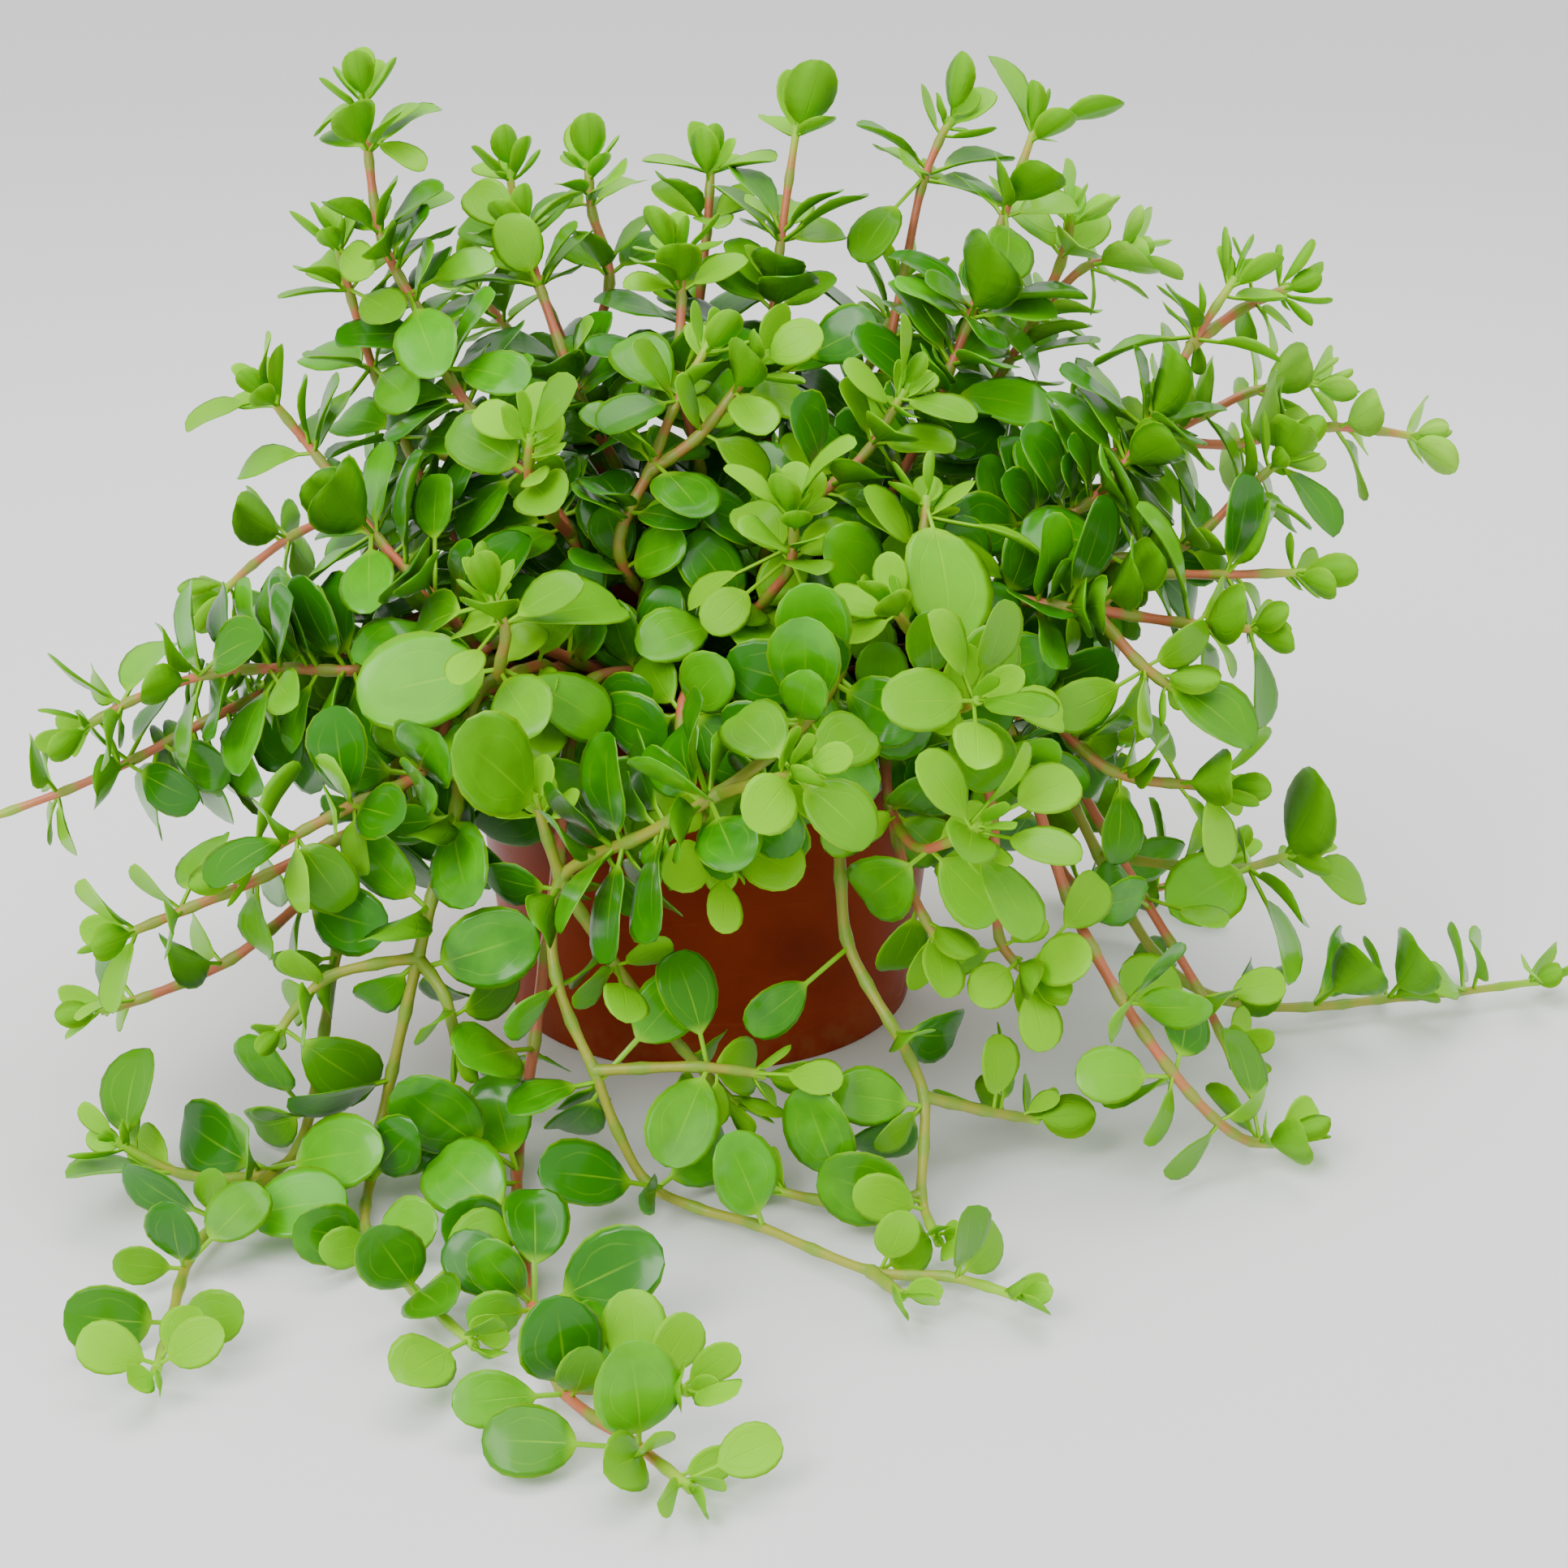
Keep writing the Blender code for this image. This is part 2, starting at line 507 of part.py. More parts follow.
def settle(plants, rounds=120):
    """Bends the stems clear of one another and of the pot. The joints in the soil stay."""
    pieces = [(plant, a, b) for plant in plants for a, b in plant.segments()]
    for _ in range(rounds):
        boxes = []
        for plant, a, b in pieces:
            p, q = plant.joints[a], plant.joints[b]
            boxes.append((min(p.x, q.x), max(p.x, q.x), min(p.y, q.y), max(p.y, q.y), plant, a, b))
        boxes.sort(key=lambda box: box[0])
        moves = []
        for i, (_, high, low_y, high_y, plant, a, b) in enumerate(boxes):
            for low2, _, low_y2, high_y2, plant2, c, d in boxes[i + 1:]:
                if low2 > high + STEM_ROOM:
                    break
                if plant is plant2 or low_y2 > high_y + STEM_ROOM or low_y > high_y2 + STEM_ROOM:
                    continue
                s, t, way = nearest_points(plant.joints[a], plant.joints[b], plant2.joints[c], plant2.joints[d])
                if way.length < STEM_ROOM:
                    push = (way.normalized() if way.length > 1e-6 else Vector((0, 0, 1)))
                    push *= 0.5 * (STEM_ROOM + 0.2 - way.length)
                    moves += [(plant, a, push * (1 - s)), (plant, b, push * s)]
                    moves += [(plant2, c, push * (t - 1)), (plant2, d, push * -t)]
            for t in (k / WALL_CHECKS for k in range(WALL_CHECKS + 1)):
                if min(a, b) > 0:
                    push = off_pot(plant.joints[a].lerp(plant.joints[b], t), STEM_RADIUS + 0.6)
                    if push.length > 0:
                        moves += [(plant, a, push * (1 - t)), (plant, b, push * t)]
        if not moves:
            break
        for plant, joint, push in moves:
            if joint > 1:
                plant.joints[joint] = plant.joints[joint] + push


# Leaves

class Leaf:
    """A blade on its petiole: a midrib that bends evenly, and two halves that fold up from it."""

    def __init__(self, place, joint, origin, side, along, face, length, width, petiole, bend, fold):
        self.place = tuple(place)
        self.joint = joint
        self.origin = origin
        self.seat_side = side
        self.along = along.normalized()
        self.face = (face - self.along * face.dot(self.along)).normalized()
        self.side = self.along.cross(self.face)
        self.length = length
        self.width = width
        self.petiole = petiole
        self.bend = bend
        self.fold = fold
        self.middle = self.point(0.5, 0)
        self.reach = 0.62 * length

    def point(self, t, s):
        """The blade's point at t from its base to its tip and s from its midrib to either edge."""
        angle = self.bend * t
        ahead = self.length * math.sin(angle) / self.bend
        fall = self.length * (1 - math.cos(angle)) / self.bend
        midrib = self.origin + self.along * (self.petiole + ahead) - self.face * fall
        upwards = self.face * math.cos(angle) + self.along * math.sin(angle)
        half = FULLNESS * self.width * t**BASE_TAPER * (1 - t) ** TIP_TAPER
        return midrib + self.side * (s * half * math.cos(self.fold)) + upwards * (abs(s) * half * math.sin(self.fold))

    def root(self):
        """The blade's root, sunk in the stem far enough to hold its whole thickness."""
        out = max(self.along.dot(self.seat_side), 0.4)
        sunk = (0.5 * BLADE_THICK * math.sqrt(max(0.0, 1 - out * out)) + ROOT_DEPTH) / out
        return self.origin - self.along * sunk

    def outline(self):
        """The blade's corners after its root: pairs from the base up, with a tip where the blade is long enough."""
        if self.length >= LARGE_LEAF:
            pairs, tip = (0.26, 0.76), True
        elif self.length >= YOUNG_LEAF:
            pairs, tip = (0.36, 0.88), False
        else:
            pairs, tip = (0.6,), True
        right = [self.point(t, 1.08) for t in pairs]
        left = [self.point(t, -1.08) for t in reversed(pairs)]
        return right + ([self.point(1, 0)] if tip else []) + left

    def plate(self, thick, root):
        """The blade as a closed plate: its points, and triangles split alike on both faces."""
        corners = [root] + self.outline()
        count = len(corners)
        fan = [(0, 1, count - 1)]
        if self.length >= LARGE_LEAF:
            corners.append(self.point(0.5, 0))
            fan += [(count, i, i + 1) for i in range(1, count - 1)] + [(count, count - 1, 1)]
        else:
            fan += [(1, i, i + 1) for i in range(2, count - 1)]
        lift = self.face * (thick / 2)
        total = len(corners)
        faces = [(a, b, c) for a, b, c in fan] + [(a + total, c + total, b + total) for a, b, c in fan]
        for i in range(count):
            j = (i + 1) % count
            faces += [(j, i, i + total), (j, i + total, j + total)]
        return [p + lift for p in corners] + [p - lift for p in corners], faces


class Space:
    """What stands round the plant's blades: the pot, the soil, the ground, the stems and the blades so far."""

    def __init__(self, plants):
        points, faces = pot_shell()
        self.owners = [(None, 0, 0)] * len(faces)
        for plant in plants:
            for a, b in plant.segments():
                points += box_round(plant.joints[a], plant.joints[b], STEM_RADIUS + LEAF_ROOM)
                first = len(points) - 8
                faces += [[first + k for k in side] for side in BOX_SIDES]
                self.owners += [(plant, a, b)] * len(BOX_SIDES)
        self.stems = BVHTree.FromPolygons(points, faces)
        self.blades = []

    def clear(self, plant, leaf):
        points, faces = leaf.plate(BLADE_THICK + 2 * LEAF_ROOM, leaf.root())
        if any(off_pot(p, 0.3).length > 0 for p in points):
            return False
        whole = BVHTree.FromPolygons(points, faces)
        for _, hit in whole.overlap(self.stems):
            owner, a, b = self.owners[hit]
            if owner is not plant or leaf.joint not in (a, b):
                return False
        outer = BVHTree.FromPolygons(*leaf.plate(BLADE_THICK, leaf.point(0.3, 0)))
        if outer.overlap(self.stems):
            return False
        blade = None
        for other_plant, other, other_whole, other_blade in self.blades:
            if (other.middle - leaf.middle).length > other.reach + leaf.reach + other.petiole + leaf.petiole:
                continue
            if other_plant is plant and other.joint == leaf.joint:
                if blade is None:
                    blade = BVHTree.FromPolygons(*leaf.plate(BLADE_THICK + LEAF_ROOM, leaf.origin + leaf.along))
                if blade.overlap(other_blade):
                    return False
            elif whole.overlap(other_whole):
                return False
        return True

    def add(self, plant, leaf):
        plant.leaves.append(leaf)
        plant.seats.append((*leaf.place, leaf.seat_side))
        whole = BVHTree.FromPolygons(*leaf.plate(BLADE_THICK, leaf.root()))
        blade = BVHTree.FromPolygons(*leaf.plate(BLADE_THICK, leaf.origin + leaf.along))
        self.blades.append((plant, leaf, whole, blade))


BOX_SIDES = ((0, 1, 2, 3), (7, 6, 5, 4), (0, 4, 5, 1), (1, 5, 6, 2), (2, 6, 7, 3), (3, 7, 4, 0))


def across(direction):
    """Two directions square to this one and to each other."""
    other = Vector((0, 0, 1)) if abs(direction.z) < 0.9 else Vector((1, 0, 0))
    first = direction.cross(other).normalized()
    return first, direction.cross(first)


def box_round(a, b, room):
    u, v = across((b - a).normalized())
    return [end + (u * x + v * y) * room for end in (a, b) for x, y in ((1, 1), (-1, 1), (-1, -1), (1, -1))]


def towards_light(point):
    """Light comes from above and from outside the plant, whose middle leans to the back."""
    outwards = Vector((point.x, point.y - LIGHT_AXIS_Y, 0.0))
    lean = LIGHT_LEAN * (1 + min(outwards.length / LIP_RADIUS, 1.0))
    return (outwards.normalized() * lean + Vector((0, 0, 1))).normalized()


def mature_leaf(plant, place, target, length, draw, wander):
    """A leaf whose blade lies round the target. It faces the light and the stem's tip."""
    target = target + Vector((draw.gauss(0, 1), draw.gauss(0, 1), draw.gauss(0, 1))) * wander
    joint = plant.lines[place[0]][place[1]]
    origin, side = plant.seat(*place, target - plant.joints[joint])
    reach = target - origin
    along = reach.normalized()
    u, v = across(along)
    face = plant.tangent(*place) * 0.35 + towards_light(target)
    face += (u * draw.gauss(0, 1) + v * draw.gauss(0, 1)) * (0.22 + 0.05 * wander)
    petiole = min(max(reach.length - length / 2, 2.0), 12.0)
    width = length * draw.uniform(0.76, 0.88)
    bend, fold = draw.uniform(0.15, 0.55), draw.uniform(0.1, 0.3)
    return Leaf(place, joint, origin, side, along, face, length, width, petiole, bend, fold)


def whorl_leaf(plant, place, turn, spread, length, draw, wander, young):
    """A leaf of a whorl: it stands out from the stem at an angle. Young ones cup, and others turn to the light."""
    growing = plant.tangent(*place)
    u, v = across(growing)
    turn += draw.gauss(0, 0.12 + 0.12 * wander)
    outward = u * math.cos(turn) + v * math.sin(turn)
    angle = math.radians(min(max(spread + draw.gauss(0, 6 + 5 * wander), 12), 110))
    along = growing * math.cos(angle) + outward * math.sin(angle)
    joint = plant.lines[place[0]][place[1]]
    if plant.joints[joint].z < 14:
        along.z = max(along.z, 0.15)
    face = growing * math.sin(angle) - outward * math.cos(angle)
    width = length * draw.uniform(0.74, 0.9)
    bend, fold = draw.uniform(0.2, 0.6), draw.uniform(0.15, 0.4)
    if young:
        face += towards_light(plant.joints[joint]) * 0.35
        bend = -bend
    else:
        along.z += 0.15
        face += towards_light(plant.joints[joint]) * 1.1
        fold *= 0.7
    origin, side = plant.seat(*place, along)
    return Leaf(place, joint, origin, side, along, face, length, width, 0.18 * length, bend, fold)


def grow_wished(plant, space, draw):
    """The plant's own large leaves, each from the joint that its petiole reaches best."""
    missed = 0
    for *middle, length in plant.wishes:
        target = Vector(middle)
        ways = sorted(
            (abs((plant.joints[joint] - target).length - length / 2 - 4), number, step)
            for number, line in enumerate(plant.lines) for step, joint in enumerate(line) if joint > 1
        )
        for attempt in range(60):
            _, *place = ways[0 if attempt < 24 or attempt % 2 else 1]
            leaf = mature_leaf(plant, place, target, length * (1 - 0.004 * attempt), draw, 0.09 * attempt)
            if space.clear(plant, leaf):
                space.add(plant, leaf)
                break
        else:
            missed += 1
    return missed


def grow_whorl(plant, space, draw, place, count, spread, length, young):
    """A whorl of like leaves round a joint, each turned or shortened a little until it is clear."""
    missed = 0
    start = draw.uniform(0, math.tau)
    for k in range(count):
        size = length * draw.uniform(0.85, 1.12)
        for attempt in range(24):
            leaf = whorl_leaf(plant, place, start + math.tau * k / count, spread, size * (1 - 0.01 * attempt),
                              draw, 0.15 * attempt, young)
            if space.clear(plant, leaf):
                space.add(plant, leaf)
                break
        else:
            missed += 1
    return missed


def grow_tips(plant, space, draw):
    """The small leaves round each stem's tip."""
    return sum(
        grow_whorl(plant, space, draw, (number, len(plant.lines[number]) - 1), side["tip"], side["spread"],
                   side["young"], True)
        for number, side in enumerate(plant.stems)
    )


def grow_whorls(plant, space, draw):
    """Leaves by rule at the joints between the pot and the tip: larger the further they are from the tip."""
    missed = 0
    for number, side in enumerate(plant.stems):
        line = plant.lines[number]
        for step in range(len(line) - 2, 0, -1):
            joint = plant.joints[line[step]]
            outside = math.hypot(joint.x, joint.y) > LIP_RADIUS or joint.z > POT_HEIGHT + 8
            if outside and line[step] > 1:
                from_tip = (plant.joints[line[-1]] - joint).length
                length = min(WHORL_SHORTEST + WHORL_GAIN * from_tip, WHORL_LONGEST)
                missed += grow_whorl(plant, space, draw, (number, step), side["whorl"], WHORL_SPREAD, length, False)
    return missed


def grow(plants):
    """Grows every leaf where it touches nothing else. Each plant has its own seeded draw."""
    for plant in plants:
        plant.frame_stems()
    space = Space(plants)
    missed = []
    for stage, growth in enumerate((grow_wished, grow_tips, grow_whorls)):
        for number, plant in enumerate(plants):
            missed.append(growth(plant, space, random.Random(SEED + 1000 * stage + number)))
    return missed


# Meshes

def material(name, colour, roughness, metallic=0.0):
    made = bpy.data.materials.new(name)
    made.use_nodes = True
    shader = made.node_tree.nodes["Principled BSDF"]
    shader.inputs["Base Color"].default_value = (*colour, 1.0)
    shader.inputs["Roughness"].default_value = roughness
    shader.inputs["Metallic"].default_value = metallic
    return made


def mesh_object(name, points, faces):
    """An object in the scene from points in millimetres, with its faces pointing out."""
    mesh = bpy.data.meshes.new(name)
    mesh.from_pydata([Vector(p) * MM for p in points], [], faces)
    work = bmesh.new()
    work.from_mesh(mesh)
    bmesh.ops.recalc_face_normals(work, faces=work.faces)
    work.to_mesh(mesh)
    work.free()
    made = bpy.data.objects.new(name, mesh)
    bpy.context.collection.objects.link(made)
    return made


def boolean(target, others, operation):
    """Joins the other objects to the target, or cuts them from it, and removes them."""
    group = bpy.data.collections.new("operands")
    bpy.context.scene.collection.children.link(group)
    for other in others:
        group.objects.link(other)
    modifier = target.modifiers.new(operation.title(), "BOOLEAN")
    modifier.operation = operation
    modifier.operand_type = "COLLECTION"
    modifier.collection = group
    modifier.solver = "EXACT"
    graph = bpy.context.evaluated_depsgraph_get()
    result = bpy.data.meshes.new_from_object(target.evaluated_get(graph))
    target.modifiers.clear()
    target.data = result
    for other in others:
        bpy.data.objects.remove(other)
    bpy.data.collections.remove(group)


def neighbours(vert):
    return {edge.other_vert(vert) for edge in vert.link_edges}


def join_hairs(work):
    """Draws each edge shorter than a hair into one point, unless that would pinch the body."""
    for edge in [edge for edge in work.edges if edge.calc_length() < HAIR * MM]:
        if edge.is_valid and len(neighbours(edge.verts[0]) & neighbours(edge.verts[1])) == 2:
            middle = (edge.verts[0].co + edge.verts[1].co) / 2
            bmesh.ops.pointmerge(work, verts=list(edge.verts), merge_co=middle)


def bodies(work):
    """The faces of each body, largest first. Faces belong together where they share an edge."""
    waiting, found = set(work.faces), []
    while waiting:
        front = [waiting.pop()]
        body = list(front)
        while front:
            near = {face for edge in front.pop().edges for face in edge.link_faces} & waiting
            waiting -= near
            front += near
            body += near
        found.append(body)
    return sorted(found, key=len, reverse=True)


def clean(obj):
    """Leaves one body of triangles, without edges shorter than a hair and without points that lie flat."""
    for method in ("BEAUTY", "EAR_CLIP"):
        work = bmesh.new()
        work.from_mesh(obj.data)
        bmesh.ops.triangulate(work, faces=work.faces, ngon_method=method)
        join_hairs(work)
        bmesh.ops.dissolve_limit(work, angle_limit=FLAT_ANGLE, verts=work.verts, edges=work.edges)
        scraps = [face for body in bodies(work)[1:] for face in body]
        bmesh.ops.delete(work, geom=scraps, context="FACES")
        bmesh.ops.triangulate(work, faces=work.faces, ngon_method=method)
        if all(len(edge.link_faces) == 2 for edge in work.edges):
            break
    work.to_mesh(obj.data)
    work.free()


def turned(name, profile, sides):
    """A closed solid turned round Z from a profile that starts and ends on the axis."""
    work = bmesh.new()
    verts = [work.verts.new(Vector((r, 0, z)) * MM) for r, z in profile]
    edges = [work.edges.new(pair) for pair in zip(verts, verts[1:])]
    bmesh.ops.spin(work, geom=verts + edges, axis=(0, 0, 1), cent=(0, 0, 0), steps=sides, angle=math.tau)
    bmesh.ops.remove_doubles(work, verts=work.verts, dist=1e-6)
    bmesh.ops.recalc_face_normals(work, faces=work.faces)
    mesh = bpy.data.meshes.new(name)
    work.to_mesh(mesh)
    work.free()
    made = bpy.data.objects.new(name, mesh)
    bpy.context.collection.objects.link(made)
    return made


def prism(name, x, y, radius, low, high, sides):
    """An upright prism with a corner on its +X side."""
    ring = [(x + radius * math.cos(math.tau * k / sides), y + radius * math.sin(math.tau * k / sides))
            for k in range(sides)]
    points = [(u, v, low) for u, v in ring] + [(u, v, high) for u, v in ring]
    faces = [tuple(range(sides)), tuple(range(sides, 2 * sides))]
    faces += [(k, (k + 1) % sides, (k + 1) % sides + sides, k + sides) for k in range(sides)]
    return mesh_object(name, points, faces)


def make_pot():
    """A thin tapered pot with a rolled lip, a foot ring, a flat centre pad and drain holes."""
    pot = turned("pot", pot_profile(), POT_SIDES)
    cutters = []
    for k in range(DRAIN_HOLES):
        angle = math.tau * (k + 0.5) / DRAIN_HOLES
        spot = DRAIN_RING * math.cos(angle), DRAIN_RING * math.sin(angle)
        cutters.append(prism("drain", *spot, DRAIN_RADIUS, -1.0, FOOT_HEIGHT + FLOOR_THICK + 1, 6))
    boolean(pot, cutters, "DIFFERENCE")
    pot.data.materials.clear()
    pot.data.materials.append(material("terracotta plastic", (0.279, 0.048, 0.013), 0.42))
    pot.data.shade_smooth()
    pot.data.set_sharp_from_angle(angle=math.radians(35))


def make_soil(plants):
    """The potting mix: it fills the pot to below its lip, with a plain hole for each stem."""
    low = FOOT_HEIGHT + FLOOR_THICK + SOIL_GAP

    def inside(z):
        """The soil's radius at a height, a gap inside the pot's inner wall."""
        rise = (z - FOOT_HEIGHT - FLOOR_THICK) / (POT_HEIGHT - 0.8 - FOOT_HEIGHT - FLOOR_THICK)
        return BASE_RADIUS + (TOP_RADIUS - BASE_RADIUS) * rise - WALL - SOIL_GAP

    profile = [(0, low), (inside(low), low), (inside(SOIL_TOP), SOIL_TOP), (0, SOIL_TOP)]
    soil = turned("soil", profile, POT_SIDES)
    cutters = []
    for plant in plants:
        x, y, _ = plant.joints[0]
        radius = STEM_RADIUS + HOLE_GAP * math.sqrt(2)
        cutters.append(prism("hole", x, y, radius, SOIL_TOP - HOLE_DEPTH, SOIL_TOP + 5, STEM_SIDES))
    boolean(soil, cutters, "DIFFERENCE")
    soil.data.materials.clear()
    soil.data.materials.append(material("potting soil", (0.022, 0.013, 0.008), 0.95))


def tube(rings):
    """A stem's mesh: a ring of corners at each joint."""
    points, faces = [], []
    for step, (centre, u, v, radius) in enumerate(rings):
        for k in range(STEM_SIDES):
            angle = math.tau * k / STEM_SIDES
            points.append(centre + (u * math.cos(angle) + v * math.sin(angle)) * radius)
        if step:
            first = (step - 1) * STEM_SIDES
            for k in range(STEM_SIDES):
                j = (k + 1) % STEM_SIDES
                faces.append((first + k, first + j, first + STEM_SIDES + j, first + STEM_SIDES + k))
    faces += [tuple(reversed(range(STEM_SIDES))), tuple(range(len(points) - STEM_SIDES, len(points)))]
    return points, faces


def make_plant(plant):
    """One leafy stem: its stems and blades joined in one body."""
    body = mesh_object(f"stem_{plant.name}", *tube(plant.rings[0]))
    pieces = [mesh_object("side", *tube(rings)) for rings in plant.rings[1:]]
    pieces += [mesh_object("leaf", *leaf.plate(BLADE_THICK, leaf.root())) for leaf in plant.leaves]
    boolean(body, pieces, "UNION")
    clean(body)
    colour = (0.19, 0.42, 0.04) if plant.name in PALE else (0.08, 0.33, 0.02)
    body.data.materials.clear()
    body.data.materials.append(material(f"leafy stem {plant.name}", colour, 0.38))


def main():
    for obj in list(bpy.data.objects):
        bpy.data.objects.remove(obj)
    plants = root_plants()
    settle(plants)
    grow(plants)
    make_pot()
    make_soil(plants)
    for plant in plants:
        make_plant(plant)


main()
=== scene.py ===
# %% [markdown]
# # A potted peperomia
#
# The real object is a small trailing houseplant in a terracotta-coloured plastic nursery pot. Its plain
# solids come from the CAD model, which also fixes its size and place. This lesson dresses them: every
# leafy stem gets smooth stems and soft glossy leaves with veins, the pot gets its moulded lip, and the
# soil gets its crumbs. Work in Blender starts by loading the CAD model as a frame, because the dressed
# plant has to stay the same size.

# %% Load the CAD frame
import math
import random

import bmesh
import bpy
from mathutils import Matrix, Vector, noise
from mathutils.bvhtree import BVHTree


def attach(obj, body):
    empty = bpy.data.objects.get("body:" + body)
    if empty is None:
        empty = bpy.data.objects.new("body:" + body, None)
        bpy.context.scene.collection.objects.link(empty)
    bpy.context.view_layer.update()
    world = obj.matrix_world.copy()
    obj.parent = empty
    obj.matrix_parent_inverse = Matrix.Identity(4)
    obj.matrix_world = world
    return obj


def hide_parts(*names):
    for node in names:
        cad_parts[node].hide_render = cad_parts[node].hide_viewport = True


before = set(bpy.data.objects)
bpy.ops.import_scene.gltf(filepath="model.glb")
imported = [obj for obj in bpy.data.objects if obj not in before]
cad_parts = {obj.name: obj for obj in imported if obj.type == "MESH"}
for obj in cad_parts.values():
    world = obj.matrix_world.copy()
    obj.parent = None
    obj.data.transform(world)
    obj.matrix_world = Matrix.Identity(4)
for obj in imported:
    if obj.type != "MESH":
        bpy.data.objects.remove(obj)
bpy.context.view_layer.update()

MM = 0.001

# %% [markdown]
# ## The camera
#
# The photo looks down on the plant by about 22 degrees from 65 cm away. A camera could be placed by
# hand, but here its height and tilt were worked out from the ellipse of the pot's lip, so they are
# plain numbers. The lens follows from how large the 12 cm pot appears. The picture is taken to be 1932
# pixels each way.

# %% Camera
PHOTO_PIXELS = 1932
FOCAL_PIXELS = 3544.0
CAMERA_PLACE = (0.018, -0.632, 0.301)
LOOKS_DOWN = 21.56

view = bpy.data.cameras.new("photo view")
view.sensor_width = 36.0
view.lens = view.sensor_width * FOCAL_PIXELS / PHOTO_PIXELS
view.clip_start, view.clip_end = 0.01, 20.0
camera = bpy.data.objects.new("photo view", view)
camera.location = CAMERA_PLACE
camera.rotation_euler = (math.radians(90.0 - LOOKS_DOWN), 0.0, 0.0)
bpy.context.scene.collection.objects.link(camera)
bpy.context.scene.camera = camera
print("camera lens in mm:", round(view.lens, 1))

# %% [markdown]
# ## Sizes
#
# The plant is laid out in millimetres by the same rules and the same seeded draws as in the CAD source,
# so each fine leaf grows exactly where its plain blade is. Copying the blades' places from the mesh
# would also work, but then nothing could be learnt from or changed in how the plant grows. These are
# the driving sizes.

# %% Driving sizes in millimetres
POT_HEIGHT = 90.0
LIP_RADIUS = 60.0
LIP_HEIGHT = 6.5
LIP_SOFT = 0.8
LIP_ROUND = 1.2
LIP_SLANT = 1.0
LIP_INSET = 0.6
WALL = 1.4
TOP_RADIUS = 57.4
BASE_RADIUS = 48.0
POT_SIDES = 24
FLOOR_THICK = 2.0
FOOT_HEIGHT = 2.0
FOOT_WIDTH = 4.0
FOOT_SLANT = 1.0
PAD_RADIUS = 16.0
DRAIN_HOLES = 6
DRAIN_RADIUS = 4.0
DRAIN_RING = 31.0
SOIL_TOP = 80.0
SOIL_GAP = 0.4
HOLE_DEPTH = 12.0
STEM_FOOT = 1.0
STEM_COLLAR = 4.0
ROOT_SPREAD = 47.0
ROOT_PULL = 0.62
STEM_RADIUS = 1.5
TIP_RADIUS = 1.0
SIDE_SHOOT = 0.85
TAPER_POWER = 1.5
INTERNODE = 34.0
STEM_ROOM = 3.8
STEM_SIDES = 3
WALL_CHECKS = 12
BLADE_THICK = 0.75
SEAT_STEP = 2.2
ROOT_DEPTH = 0.4
LEAF_ROOM = 0.4
LARGE_LEAF = 16.0
YOUNG_LEAF = 13.0
FULLNESS = 1.08
BASE_TAPER = 0.62
TIP_TAPER = 0.5
WHORL_SPREAD = 66.0
WHORL_SHORTEST, WHORL_LONGEST = 13.0, 22.0
WHORL_GAIN = 0.16
LIGHT_AXIS_Y = 48.0
LIGHT_LEAN = 0.45
SEED = 23
FAR_STEMS = 6
FAR_FROM, FAR_TO = 12.0, 168.0
print("pot", 2 * LIP_RADIUS, "mm wide and", POT_HEIGHT, "mm high")

# %% [markdown]
# ## Where the stems grow
#
# A peperomia's stems are told apart by where they head. Each rooted stem is written down as the points
# that it grows through, with its side shoots, and the larger leaves that give the plant its look from
# the front. It is a given list, because a plant in a photo follows no rule. The far side, which no
# photo shows, does follow one.

# %% The rooted stems
def stem(*way, joins=None, tip=2, young=11.0, spread=52.0, whorl=0):
    """One stem: the points on its way, and the number of the main stem's point that it starts from.

    Its tip carries `tip` leaves of length `young` at the angle `spread`, and each joint outside the pot
    a whorl of `whorl` leaves.
    """
    return {"way": way, "joins": joins, "tip": tip, "young": young, "spread": spread, "whorl": whorl}


